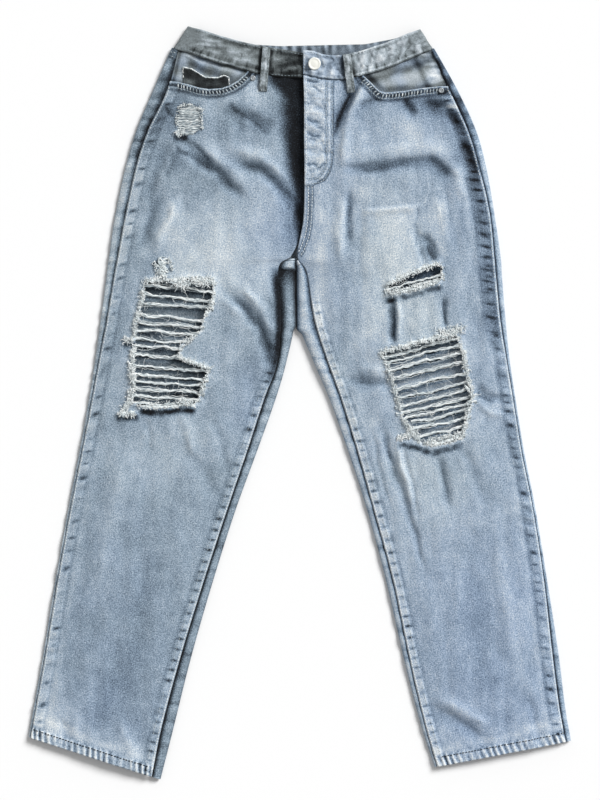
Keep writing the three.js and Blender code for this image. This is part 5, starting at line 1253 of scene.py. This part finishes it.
def coin_pocket():
    na, ns = 64, 44
    top = plan(COIN_TOP)
    A, S = np.meshgrid(np.linspace(0, 1, na), np.linspace(0, 1, ns), indexing="ij")
    X = mix(top[0, 0], top[-1, 0], A)
    ytop = np.interp(X, top[:, 0], top[:, 1]) + 0.8 * noise(X / 2.6, 0 * X, 71)
    Y = mix(ytop, P(0, 98)[1], S)
    Z = np.array([[drop(tree_facing, X[a, s], Y[a, s], 8.0) for s in range(ns)] for a in range(na)])
    Z = Z + 0.9 + 0.5 * np.exp(-(S * 34 / 3.0) ** 2)
    tone = 0.10 + 0.10 * noise(X / 9, Y / 9, 72) + 0.40 * np.exp(-((X - P(189.5, 0)[0]) / 7.5) ** 2 - ((Y - P(0, 82)[1]) / 5.5) ** 2) + 0.10 * np.exp(-((X - P(212, 0)[0]) / 12) ** 2 - ((Y - P(0, 85)[1]) / 3.5) ** 2) + 0.55 * np.exp(-((ytop - Y) / 1.3) ** 2) + 0.10 * np.exp(-((1 - A) * 62 / 2.0) ** 2) + 0.10 * np.exp(-(A * 62 / 2.0) ** 2)
    verts = np.stack([X, Y, Z], -1).reshape(-1, 3)
    q = quads(na, ns)
    v, f, (t, c) = hang_rim(verts, q, [tone.ravel(), np.stack([X, Y], -1).reshape(-1, 2)], 1.0)
    return put("coin_pocket_cloth", v, f, MAT_DARK, np.clip(t, 0.02, 0.98), c)


coin = coin_pocket()
tree_all = bvh_of(front_right, front_left, band, back_right, back_left, yoke_right, yoke_left, facing_right, facing_left, coin)


def belt_loop(name, top, end, seed):
    nt, nw = 70, 13
    top, end = np.array(top), np.array(end)
    d = (end - top) / np.linalg.norm(end - top)
    w = np.array([-d[1], d[0]])
    t = np.linspace(0, 1, nt)
    base = np.array([max(drop(tree_all, *(top + (end - top) * k + w * o), 10.0) for o in (-5, 0, 5)) for k in t])
    ease = np.convolve(np.pad(base, 6, "edge"), np.ones(13) / 13, "valid")
    lift = smooth(t / 0.06) * smooth((1 - t) / 0.16)
    o = np.linspace(-1, 1, nw)
    T, O = np.meshgrid(t, o, indexing="ij")
    wob = 0.35 * noise(T * 5, 0 * O, seed)
    X = top[0] + (end - top)[0] * T + w[0] * (O * 5.5 + wob)
    Y = top[1] + (end - top)[1] * T + w[1] * (O * 5.5 + wob)
    roll = 0.9 * (1 - np.abs(O) ** 4)
    ridge = 0.30 * np.cos(O * np.pi * 2.0)
    Z = ease[:, None] + 0.9 + 2.9 * lift[:, None] + roll + ridge + 0.35 * noise(T * 7, O * 0.8, seed + 1)
    # painted light on the loop's middle ridge; painted shade in the dips by its stitching, along its edges and at both
    # ends
    tone = 0.615 + 0.04 * ridge / 0.3 + 0.26 * noise(T * 6, O * 0.9, seed + 2) + 0.10 * noise(T * 17, O * 1.6, seed + 3) - 0.10 * np.exp(-((np.abs(O) - 0.66) / 0.12) ** 2) - 0.30 * np.exp(-((np.abs(O) - 1.0) / 0.12) ** 2)
    tone = tone - 0.10 * smooth(1 - T / 0.06) - 0.08 * smooth((T - 0.93) / 0.06)
    verts = np.stack([X, Y, Z], -1).reshape(-1, 3)
    q = quads(nt, nw)[:, ::-1]
    v, f, (tv, cv) = hang_rim(verts, q, [tone.ravel(), np.stack([O * 5.5 + 60, T * 55], -1).reshape(-1, 2)], 1.9)
    ob = put(name, v, f, MAT_BAND, np.clip(tv, 0.02, 0.98), cv)
    return ob


loop_right = belt_loop("loop_right_cloth", (-45.0, 479.5), (-50.0, 420.0), 801)
loop_left = belt_loop("loop_left_cloth", (63.0, 469.5), (69.0, 418.0), 811)


def lathe(name, profile, x, y, z, material, sides=48):
    q = np.arange(sides) / sides * 2 * np.pi
    verts = np.array([[x + r * math.cos(a), y + r * math.sin(a), z + h] for r, h in profile for a in q])
    m = len(profile)
    j, i = np.meshgrid(np.arange(m - 1), np.arange(sides), indexing="ij")
    a, b = (j * sides + i).ravel(), (j * sides + (i + 1) % sides).ravel()
    return put(name, verts, np.stack([a, b, b + sides, a + sides], axis=1), material)


button_z = drop(tree_all, 19.5, 456.5, 15.0)
button = lathe("button_metal", [(0.02, -2.0), (2.6, -2.0), (2.6, 0.6), (7.6, 0.6), (8.3, 1.1), (8.5, 1.8), (8.3, 2.6), (7.7, 3.1), (6.9, 3.2), (6.4, 2.95),
                                (6.0, 2.8), (4.0, 3.05), (2.0, 3.2), (0.02, 3.25)], 19.5, 456.5, button_z, MAT_METAL, 64)


def rivet(name, x, y):
    z = max(drop(tree_all, x + dx, y + dy, 11.0) for dx in (-3, 0, 3) for dy in (-3, 0, 3))
    return lathe(name, [(3.7, -0.6), (3.75, 0.3), (3.4, 1.0), (2.7, 1.35), (1.9, 1.1), (1.5, 0.4), (1.2, 0.2), (0.9, 0.7), (0.02, 0.8)], x, y, z, MAT_RIVET, 28)


rivet_right = rivet("rivet_right_metal", -63.5, 437.5)
rivet_left = rivet("rivet_left_metal", 190.5, 421.0)

# ---------------------------------------------------------------- threads of the rips
tree_front = bvh_of(front_right, front_left)
tree_back = bvh_of(back_right, back_left)


def surface_z(x, y, reach=14.0):
    """Height of the front cloth at a place, or the nearest cloth round it."""
    z = drop(tree_front, x, y)
    if z is not None and z > 4:
        return z
    best = []
    for r in (2.0, 4.0, 7.0, 10.0, reach):
        for a in np.arange(8) * np.pi / 4:
            z = drop(tree_front, x + r * math.cos(a), y + r * math.sin(a))
            if z is not None and z > 4:
                best.append(z)
        if best:
            return float(np.mean(best))
    return 12.0


def strands(heap, table, fine=1.0):
    for start, end, thick in table:
        thick = thick * fine
        a, b = P(*start), P(*end)
        run = np.linalg.norm(b - a)
        d = (b - a) / run
        w = np.array([-d[1], d[0]])
        a, b = a - d * 2.5, b + d * 2.5
        za, zb = surface_z(*a) + 0.4, surface_z(*b) + 0.4
        m = int(run / 2.0) + 6
        t = np.linspace(0, 1, m)
        seed = int(rng.integers(1, 9000))
        sag = (1.6 + 1.8 * rng.random()) * np.sin(np.pi * t) ** 0.7
        bow = (2.6 * noise(t * 2.7, 0.5 + 0 * t, seed) + 0.9 * noise(t * run / 11, 2.5 + 0 * t, seed + 1)) * np.sin(np.pi * t) ** 0.5
        bow = bow + 0.85 * noise(t * run / 4.2, 7.5 + 0 * t, seed + 31)
        yarns = 9
        part = [2.6 * thick / 1.5 * noise(t * (2.2 + g), 1.7 * g + 0 * t, seed + 21) + 0.9 * noise(t * run / 9, 5.1 * g + 0 * t, seed + 23) for g in range(3)]
        for k in range(yarns):
            ph = 2 * np.pi * k / yarns
            turn = ph + t * run / 10.0 + 1.5 * noise(t * 6, k + 0 * t, seed + 3)
            r = 0.72 * thick * (0.9 + 0.8 * noise(t * run / 14, 3.3 * k + 0 * t, seed + 5)) * (1 - 0.25 * np.sin(np.pi * t)) + 1.1 * np.exp(-(np.minimum(t, 1 - t) * run / 5.0) ** 2)
            off = r * np.cos(turn) + bow + part[k % 3] + 0.6 * noise(t * run / 5, k * 1.7 + 0 * t, seed + 7)
            rise = r * np.sin(turn) * 0.7 - sag
            line = np.stack([mix(a[0], b[0], t) + w[0] * off, mix(a[1], b[1], t) + w[1] * off, mix(za, zb, t) + rise], axis=1)
            # painted shade on each yarn's underside and on its side away from the light
            tone = 0.74 + 0.22 * rng.random() + 0.26 * noise(t * run / 6, k + 0 * t, seed + 9)
            heap.tube(line, 0.46 + 0.26 * rng.random(), tone - 0.16 * (np.sin(turn) < -0.2) - 0.26 * np.clip(-np.cos(turn) * np.sign(w[1]), 0, 1), 4)
        # dark yarns laid under the bundle on its shaded side: a painted shadow of the bundle
        for k in range(2):
            off = bow - (1.3 + 0.8 * k) * thick / 1.5 * np.sign(w[1]) + 0.5 * noise(t * run / 8, k + 0 * t, seed + 13)
            line = np.stack([mix(a[0], b[0], t) + w[0] * off, mix(a[1], b[1], t) + w[1] * off, mix(za, zb, t) - sag - 2.6 - 0.5 * k], axis=1)
            heap.tube(line, 0.95, 0.07 + 0.08 * rng.random(), 4)
        # single yarns beside the bundle
        for k in range(2):
            off = bow + (2.0 + 2.2 * rng.random()) * (1 if k else -1) * (0.5 + 0.9 * noise(t * 2.3, k + 0 * t, seed + 17)) + 0.8 * noise(t * run / 6, 4.0 * k + 0 * t, seed + 19)
            line = np.stack([mix(a[0], b[0], t) + w[0] * off, mix(a[1], b[1], t) + w[1] * off, mix(za, zb, t) - sag - 0.6], axis=1)
            heap.tube(line, 0.38 + 0.12 * rng.random(), 0.60 + 0.28 * rng.random() + 0.2 * noise(t * run / 6, k + 0 * t, seed + 25), 3)
        # loose hairs leaving the bundle
        for _ in range(int(run / 7)):
            t0 = rng.random()
            p = mix(a, b, t0) + w * 0.5
            z = mix(za, zb, t0) - np.interp(t0, t, sag)
            hair(heap, p, z, rng.random() * 2 * np.pi, 3 + 6 * rng.random(), 0.22, 0.80)


def hair(heap, p, z, heading, length, radius, tone, rise=0.6, curl=1.6):
    m = 6
    t = np.linspace(0, 1, m)
    bend = curl * (rng.random() - 0.5) * 2
    ang = heading + bend * t
    step = length / (m - 1)
    x = p[0] + np.concatenate([[0], np.cumsum(np.cos(ang[:-1]) * step)])
    y = p[1] + np.concatenate([[0], np.cumsum(np.sin(ang[:-1]) * step)])
    zz = z + rise * np.sin(np.pi * t * (0.6 + 0.6 * rng.random())) + 0.2 * t
    heap.tube(np.stack([x, y, zz], axis=1), radius * (1 - 0.35 * t), tone, 3)


def fringe(heap, outline, per_mm, length, where=None, closed=True, radius=0.36, spread=0.9):
    pts = plan(outline)
    if closed:
        pts = np.concatenate([pts, pts[:1]])
    area = np.sum(pts[:-1, 0] * pts[1:, 1] - pts[1:, 0] * pts[:-1, 1])
    for a, b in zip(pts[:-1], pts[1:]):
        run = np.linalg.norm(b - a)
        d = (b - a) / run
        inward = np.array([-d[1], d[0]]) * (1 if area > 0 else -1)
        for _ in range(int(run * per_mm + rng.random())):
            k = rng.random()
            clump = noise((a[0] + d[0] * run * k) / 4.5, (a[1] + d[1] * run * k) / 4.5, 95)
            if rng.random() > 0.45 + 1.1 * clump:
                continue
            p = mix(a, b, k) - inward * (1.5 * rng.random() + 0.3) + rng.normal(0, 0.5, 2)
            z = surface_z(*p) + 0.35
            h = math.atan2(inward[1], inward[0]) + rng.normal(0, spread)
            hair(heap, p, z, h, length * (0.35 + 0.75 * rng.random()), radius * (0.8 + 0.7 * rng.random()), 0.80 + 0.18 * rng.random(), 0.9, 3.2)
            if inward[1] < 0.5 and rng.random() < 0.55:
                p = p - inward * 3.2 * rng.random()
                hair(heap, p, surface_z(*p) + 0.30, h + rng.normal(0, 1.6), 2.0 + 2.6 * rng.random(), 0.30 + 0.14 * rng.random(), 0.66 + 0.24 * rng.random(), 0.6, 3.0)


def tuft(heap, a, b, size, count, lift=0.6):
    """Frayed roll of threads between two plan points."""
    pa, pb = P(*a), P(*b)
    d = (pb - pa) / np.linalg.norm(pb - pa)
    w = np.array([-d[1], d[0]])
    for _ in range(int(count * 1.2)):
        p = mix(pa, pb, rng.random()) + w * rng.normal(0, size * 0.36)
        z = surface_z(*p) + lift + abs(rng.normal(0, 0.5))
        h = math.atan2(w[1], w[0]) * (1 if rng.random() < 0.5 else -1) + rng.normal(0, 0.9)
        hair(heap, p, z, h, size * (0.5 + 0.8 * rng.random()), 0.42 + 0.25 * rng.random(), 0.62 + 0.35 * rng.random(), 1.4, 3.6)


def roll(heap, points, thick, seed, tone=0.78):
    """Frayed edge rolled up on itself: lumpy, pale."""
    pts = plan(points)
    fine = np.stack([spline(pts[:, k], np.linspace(0, len(pts) - 1, 16 * len(pts))) for k in (0, 1)], axis=1)
    s = np.concatenate([[0], np.cumsum(np.hypot(*np.diff(fine, axis=0).T))])
    for k in range(3):
        q = np.arange(0, s[-1], 1.0)
        x = np.interp(q, s, fine[:, 0]) + 0.9 * noise(q / 6, k * 3.1 + 0 * q, seed)
        y = np.interp(q, s, fine[:, 1]) + 1.1 * noise(q / 5, k * 2.3 + 0 * q, seed + 1) + (k - 1) * thick * 0.55
        z = np.array([surface_z(a, b) for a, b in zip(x[::4], y[::4])])
        z = np.interp(q, q[::4], z) + 0.3 * thick
        r = 1.35 * thick * (0.55 + 0.85 * noise(q / 5.0, k * 1.9 + 0 * q, seed + 2)) * smooth(q / 5) * smooth((s[-1] - q) / 5)
        heap.tube(np.stack([x, y, z], axis=1), np.clip(r, 0.15, None), tone + 0.14 * noise(q / 4, k + 0 * q, seed + 3), 7)


def worn_patch(heap, centre, wide, high, count, seed):
    """Cream weft showing through an abrasion: fine uneven rows in a rounded patch."""
    for k in range(count):
        q = 2 * (k + 0.5) / count - 1
        reach = wide * (1 - abs(q) ** 3) ** 0.5 * (0.86 + 0.26 * rng.random())
        a, b = P(centre[0] - reach * (0.75 + 0.35 * rng.random()), 0)[0], P(centre[0] + reach * (0.75 + 0.35 * rng.random()), 0)[0]
        y = P(0, centre[1] + high * q)[1] + rng.normal(0, 0.35)
        m = max(8, int((b - a) / 1.3))
        t = np.linspace(0, 1, m)
        x = mix(a, b, t)
        yy = y + 1.5 * noise(x / 11, k * 0.10 + 0 * t, seed) + 0.9 * noise(x / 4.6, k * 0.33 + 0 * t, seed + 1)
        z = np.array([surface_z(px, py) for px, py in zip(x[::3], yy[::3])])
        z = np.interp(np.arange(m), np.arange(m)[::3], z) + 0.30 + 0.8 * np.abs(noise(x / 6, k * 0.7 + 0 * t, seed + 4))
        tone = 0.62 + 0.26 * rng.random() + 0.24 * noise(x / 5.0, k * 0.5 + 0 * t, seed + 2)
        heap.tube(np.stack([x, yy, z], axis=1), (0.40 + 0.22 * rng.random()) * (0.7 + 0.5 * smooth(np.minimum(t, 1 - t) / 0.15)), tone, 4)


def knots(heap, centre, wide, high, count):
    """Loops of torn weft standing up from a small hole."""
    for k in range(count):
        q = rng.normal(0, 0.5, 2)
        q = q * min(1.0, 0.80 / max(1e-6, np.hypot(*q)))
        c = P(centre[0] + wide * q[0], centre[1] + high * q[1])
        head = rng.normal(0, 0.6) + (np.pi if rng.random() < 0.5 else 0)
        long = 7 + 9 * rng.random()
        bend = np.clip(rng.normal(0, 2.2), -3.6, 3.6)
        m = 12
        t = np.linspace(-0.5, 0.5, m)
        ang = head + bend * t
        x = c[0] + np.cumsum(np.cos(ang)) * long / m - np.cos(head) * long / 2
        y = c[1] + np.cumsum(np.sin(ang)) * long / m - np.sin(head) * long / 2
        z = surface_z(*c) + 0.3 + 1.9 * rng.random() * np.cos(np.pi * t)
        heap.tube(np.stack([x, y, z], axis=1), (0.62 + 0.38 * rng.random()) * (0.6 + 0.5 * np.cos(np.pi * t)), 0.62 + 0.30 * rng.random(), 5)


threads_right, threads_left = Heap(), Heap()
strands(threads_right, STRANDS_RIGHT, 0.84)
strands(threads_left, STRANDS_LEFT, 0.86)
fringe(threads_right, RIP_RIGHT, 2.2, 4.2)
fringe(threads_left, RIP_LEFT, 2.2, 4.2)
fringe(threads_left, SLIT_LEFT, 2.0, 3.6)
for a, b, size, count in [
    ((172, 283), (189, 284), 6.8, 110), ((194, 282), (213, 281), 6.6, 110), ((143, 290), (140, 302), 4.6, 36), ((138, 312), (136, 322), 4.8, 40), ((134, 328), (134, 336), 4.2, 26), ((132, 350), (131, 360), 5.0, 40), ((130, 372), (132, 384), 5.2, 44), ((131, 390), (128, 398), 4.6, 40), ((146, 281), (160, 280), 5.0, 60), ((131, 398), (122, 412), 5.0, 70), ((118, 414), (136, 414), 4.0, 60),
    ((140, 404), (194, 402), 2.8, 54), ((178, 402), (193, 404), 4.2, 60), ((134, 330), (142, 300), 3.2, 60), ((133, 358), (133, 398), 3.4, 90), ((205, 318), (213, 300), 3.4, 50),
    ((180, 350), (196, 336), 3.0, 50), ((182, 358), (210, 369), 3.6, 70), ((199, 398), (207, 376), 3.0, 50), ((154, 262), (158, 274), 3.0, 30), ((168, 258), (172, 270), 3.4, 30), ((160, 275), (168, 281), 3.6, 46),
    ((176, 133), (184, 134), 4.6, 60), ((196, 107), (203, 112), 3.4, 26), ((201, 116), (202, 130), 2.6, 30), ((178, 107), (192, 104), 2.6, 30), ((176, 114), (177, 126), 2.4, 24),
    ((124, 340), (134, 339), 5.0, 60), ((129, 362), (133, 378), 4.6, 70),
]:
    tuft(threads_right, a, b, size, count)
for a, b, size, count in [
    ((386, 286), (438, 264), 3.4, 110), ((388, 293), (440, 281), 4.2, 160), ((380, 353), (456, 334), 4.2, 170), ((440, 338), (458, 332), 6.0, 60), ((436, 335), (450, 331), 6.6, 44), ((452, 331), (464, 327), 7.0, 44),
    ((387, 364), (400, 410), 3.6, 110), ((462, 350), (472, 398), 4.0, 130), ((402, 420), (420, 442), 4.2, 80), ((425, 442), (462, 433), 4.2, 120), ((468, 400), (462, 436), 3.4, 70),
    ((398, 439), (418, 433), 5.0, 90),
]:
    tuft(threads_left, a, b, size, count)
for points, thick, seed in [
    (((171, 280), (180, 282), (189, 283)), 1.9, 951), (((194, 280), (203, 281), (213, 282)), 1.9, 952), (((147, 281), (154, 280), (162, 279)), 1.5, 953), (((131, 397), (127, 405), (119, 413)), 1.6, 955),
    (((118, 414), (127, 413), (136, 411)), 1.5, 957), (((141, 406), (156, 407), (175, 406), (193, 403)), 1.1, 959), (((181, 358), (195, 363), (208, 368)), 1.5, 961),
]:
    roll(threads_right, points, thick, seed)
for points, thick, seed in [
    (((387, 285), (405, 276), (425, 267), (438, 264)), 1.2, 971), (((389, 294), (405, 291), (424, 286), (440, 281)), 1.6, 973), (((381, 352), (400, 347), (420, 341), (455, 333)), 1.4, 975),
    (((402, 438), (412, 434), (420, 441)), 1.6, 977), (((424, 443), (438, 443), (452, 439), (461, 435)), 1.5, 979), (((464, 385), (472, 396), (470, 402)), 1.3, 981),
]:
    roll(threads_left, points, thick, seed)
worn_patch(threads_right, (189.5, 120), 13.5, 15.0, 34, 71)
knots(threads_right, (163.0, 267.5), 5.0, 12.0, 40)
for _ in range(26):
    p = P(137 + 70 * rng.random(), 284 + 122 * rng.random())
    hair(threads_right, p, surface_z(*p) - 1.0, rng.random() * 6.28, 10 + 16 * rng.random(), 0.26, 0.84, 1.2, 3.0)
for _ in range(26):
    p = P(400 + 60 * rng.random(), 350 + 86 * rng.random())
    hair(threads_left, p, surface_z(*p) - 1.0, rng.random() * 6.28, 10 + 16 * rng.random(), 0.26, 0.84, 1.2, 3.0)
rip_threads_right = threads_right.put("rip_threads_right", MAT_YARN)
rip_threads_left = threads_left.put("rip_threads_left", MAT_YARN)

# ---------------------------------------------------------------- stitching
tree_all = bvh_of(front_right, front_left, band, back_right, back_left, yoke_right, yoke_left, facing_right, facing_left, coin, loop_right, loop_left)
stitch_heap = Heap()


def stitches(points, long=3.1, gap=1.3, radius=0.46, tone=0.74, lift=0.16, skip=0.0):
    pts = np.asarray(points, float)
    s = np.concatenate([[0], np.cumsum(np.hypot(*np.diff(pts, axis=0).T))])
    at = rng.random() * 1.5
    while at + long < s[-1]:
        if rng.random() >= skip:
            q = np.array([at, at + long * 0.25, at + long * 0.75, at + long]) + rng.normal(0, 0.12)
            x = np.interp(q, s, pts[:, 0]) + rng.normal(0, 0.10)
            y = np.interp(q, s, pts[:, 1]) + rng.normal(0, 0.10)
            z = np.array([drop(tree_all, a, b, 8.0) for a, b in zip(x, y)])
            if z.max() - z.min() < 3.0:
                z = z + np.array([-0.25, lift, lift, -0.25])
                stitch_heap.tube(np.stack([x, y, z], axis=1), np.array([0.3, 1, 1, 0.3]) * radius, tone + rng.normal(0, 0.05), 4)
        at += long + gap


def panel_line(side, u_off, v0, v1, from_inner=True, n=500):
    v = np.linspace(v0, v1, n)
    r = side.at(v)
    run = np.hypot(r["innerX"] - r["sideX"], r["innerY"] - r["sideY"])
    u = 1 - u_off / run if from_inner else u_off / run
    x, y, _ = side.front(u, v)
    return np.stack([x, y], axis=1)


for side in (RIGHT, LEFT):
    first = 8.7 if side.sign < 0 else 6.6
    stitches(panel_line(side, 1.9, first, 14.97), tone=0.88, gap=0.8, radius=0.5)
    stitches(panel_line(side, 8.6, first, 14.97), tone=0.60, skip=0.25)
    stitches(panel_line(side, 2.0, 0.9, 14.97, False), tone=0.82, gap=0.8, skip=0.08)
for line, tone in [
    (((306.2, 79), (306.4, 138), (306.2, 176)), 0.90),
    (J_OUTER, 0.66),
    (J_INNER, 0.62),
    (CROTCH_A, 0.95),
    (CROTCH_B, 0.88),
]:
    pts = plan(line)
    fine = np.stack([spline(pts[:, k], np.linspace(0, len(pts) - 1, 200)) for k in (0, 1)], axis=1)
    stitches(fine, tone=tone - 0.06, radius=0.52, gap=0.9)
for mouth, flip in ((MOUTH_RIGHT, 1), (MOUTH_LEFT, -1)):
    pts = plan(mouth)[1:-1]
    fine = np.stack([spline(pts[:, k], np.linspace(0, len(pts) - 1, 240)) for k in (0, 1)], axis=1)
    d = np.gradient(fine, axis=0)
    d /= np.linalg.norm(d, axis=1)[:, None]
    nrm = np.stack([d[:, 1], -d[:, 0]], axis=1) * flip
    for off, tone in ((1.1, 0.74), (8.4, 0.64)):
        stitches(fine + nrm * off, tone=tone)
    run = np.concatenate([[0], np.cumsum(np.hypot(*np.diff(fine, axis=0).T))])
    for at in np.arange(2.0, run[-1] - 2.0, 4.3):
        k = np.searchsorted(run, at + rng.normal(0, 0.35))
        q = np.linspace(2.4, 7.2, 5)
        line = fine[k] + nrm[k] * q[:, None] + d[k] * np.linspace(-0.7, 0.7, 5)[:, None]
        z = np.array([drop(tree_all, *l, 9.0) for l in line])
        if z.max() - z.min() < 3.0:
            stitch_heap.tube(np.column_stack([line, z + 0.05]), np.array([0.4, 0.8, 1.0, 0.8, 0.4]) * 0.95, 0.60 + rng.normal(0, 0.07), 5)
ring_up = np.array([r[:2] for r in BAND_UNDER[1:]] + [(-146.0, 506.0)])
ring_low = np.array([r[2:4] for r in BAND_UNDER[1:]] + [(-164.0, 477.0)])
for f in (0.07, 0.93):
    stitches(mix(ring_low, ring_up, f), tone=0.44, skip=0.1)
up_up = np.array([r[:2] for r in BAND_UPPER])[::-1]
up_low = np.array([r[2:4] for r in BAND_UPPER])[::-1]
for f in (0.07, 0.93):
    stitches(mix(up_low, up_up, f), tone=0.56, skip=0.1)
stitches(mix(up_low[0], up_up[0], np.linspace(0.08, 0.92, 20)[:, None]) + np.array([1.8, 0.0]), tone=0.72)
for side in (RIGHT, LEFT):
    u = np.linspace(0.02, 0.98, 300)
    x, y, _ = side.front(u, np.full_like(u, LAST_ROW))
    stitches(np.stack([x, y + 12.5], axis=1), tone=0.06, radius=0.72, gap=1.0, lift=0.35)
for top, end in (((-45.0, 477.0), (-49.8, 421.5)), ((63.2, 467.0), (68.8, 419.5))):
    top, end = np.array(top), np.array(end)
    d = (end - top) / np.linalg.norm(end - top)
    w = np.array([-d[1], d[0]])
    for o in (-3.5, 3.5):
        stitches(np.array([top + w * o, end + w * o]), tone=0.56)
    for o in np.linspace(-4.2, 4.2, 9):
        p = end - d * 1.0
        stitches(np.array([p + w * (o - 0.1) - d * 0.2, p + w * (o + 0.1) + d * 3.4]), long=3.0, tone=0.6)
for centre, heading, wide in (((308, 176.5), 90, 7.5), ((327, 163), 70, 6.5), ((246.5, 79), 125, 5.0), ((300.5, 257.5), 50, 7.0)):
    c = P(*centre)
    a = math.radians(heading)
    w = np.array([math.cos(a), math.sin(a)])
    d = np.array([-w[1], w[0]])
    for o in np.linspace(-wide / 2, wide / 2, 11):
        stitches(np.array([c + w * o - d * 1.7, c + w * o + d * 1.7]), long=3.2, radius=0.5, tone=0.52)
bh = (np.array([30.0, 454.8]), np.array([42.0, 452.4]))
for o in np.linspace(0, 1, 26):
    c = mix(bh[0], bh[1], o)
    stitches(np.array([c + (-0.4, 2.6), c + (0.0, 0.4)]), long=2.0, radius=0.45, tone=0.36)
    stitches(np.array([c + (0.4, -2.6), c + (0.0, -0.4)]), long=2.0, radius=0.45, tone=0.36)
for side, rows in ((RIGHT, (0.10, 0.19)), (LEFT, (0.12, 0.2))):
    for v in rows:
        q = np.linspace(0.2, 1.35, 16)
        x, y, _ = turned(side, np.full_like(q, v), q, "side")
        stitches(np.stack([x, y], axis=1), tone=0.66)
c = plan(COIN_TOP)
for edge, wide in ((c, 0.85), (np.array([c[0], c[0] + (0, -14.0)]), 0.6), (np.array([c[-1], c[-1] + (0.0, -10.0)]), 0.7)):
    q = np.linspace(0, len(edge) - 1, 60)
    x, y = (np.interp(q, np.arange(len(edge)), edge[:, k]) + 0.5 * noise(q * 4.0, k + 0 * q, 985) for k in (0, 1))
    z = np.array([drop(tree_all, a, b, 9.0) for a, b in zip(x, y)]) + 0.5
    stitch_heap.tube(np.stack([x, y, z], axis=1), wide * (0.8 + 0.5 * noise(q * 5, 3.5 + 0 * q, 987)), 0.86 + 0.2 * noise(q * 6, 1.5 + 0 * q, 989), 5)
stitch_work = stitch_heap.put("stitching", MAT_STITCH)

# ---------------------------------------------------------------- frame
for piece, nodes in (
    (front_right, ("front_right",)), (front_left, ("front_left",)),
    (back_right, ("back_right", "back_right_side_turn", "back_right_inseam_turn")),
    (back_left, ("back_left", "back_left_side_turn", "back_left_inseam_turn")),
    (yoke_right, ("yoke_right",)), (yoke_left, ("yoke_left",)), (band, ("waistband",)),
    (facing_right, ("facing_right",)), (facing_left, ("facing_left",)), (coin, ("coin_pocket",)),
    (loop_right, ("loop_right",)), (loop_left, ("loop_left",)), (button, ("button",)),
    (rivet_right, ("rivet_right",)), (rivet_left, ("rivet_left",)),
):
    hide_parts(*nodes)

# ---------------------------------------------------------------- stage
mesh = bpy.data.meshes.new("floor")
mesh.from_pydata([(-6, -6, 0), (6, -6, 0), (6, 6, 0), (-6, 6, 0)], [], [(0, 1, 2, 3)])
floor = bpy.data.objects.new("floor", mesh)
bpy.context.scene.collection.objects.link(floor)
m, t, b = start_material("floor_pale")
b.inputs["Base Color"].default_value = (0.90, 0.90, 0.90, 1)
b.inputs["Roughness"].default_value = 0.9
mesh.materials.append(m)

sun = bpy.data.lights.new("key", "SUN")
sun.energy = 3.55
sun.angle = math.radians(24)
sun_o = bpy.data.objects.new("key", sun)
sun_o.rotation_euler = Vector((0.66, 0.60, 0.70)).to_track_quat("Z", "Y").to_euler()
bpy.context.scene.collection.objects.link(sun_o)
world = bpy.data.worlds.new("studio")
world.use_nodes = True
world.node_tree.nodes["Background"].inputs[0].default_value = (1, 1, 1, 1)
world.node_tree.nodes["Background"].inputs[1].default_value = 0.41
bpy.context.scene.world = world

cam = bpy.data.cameras.new("camera")
cam.sensor_width = 36
cam.lens = 36 * 4000 / 1080
cam.clip_end = 20
cam_o = bpy.data.objects.new("camera", cam)
cam_o.location = (0, 0.003375, 4.010)
bpy.context.scene.collection.objects.link(cam_o)
bpy.context.scene.camera = cam_o
bpy.context.scene.view_settings.view_transform = "Standard"

pieces = [front_right, front_left, back_right, back_left, yoke_right, yoke_left, band, facing_right, facing_left, coin,
          loop_right, loop_left, button, rivet_right, rivet_left, rip_threads_right, rip_threads_left, stitch_work]
counts = {o.name: triangles(o) for o in pieces}
print("triangles", counts, sum(counts.values()))
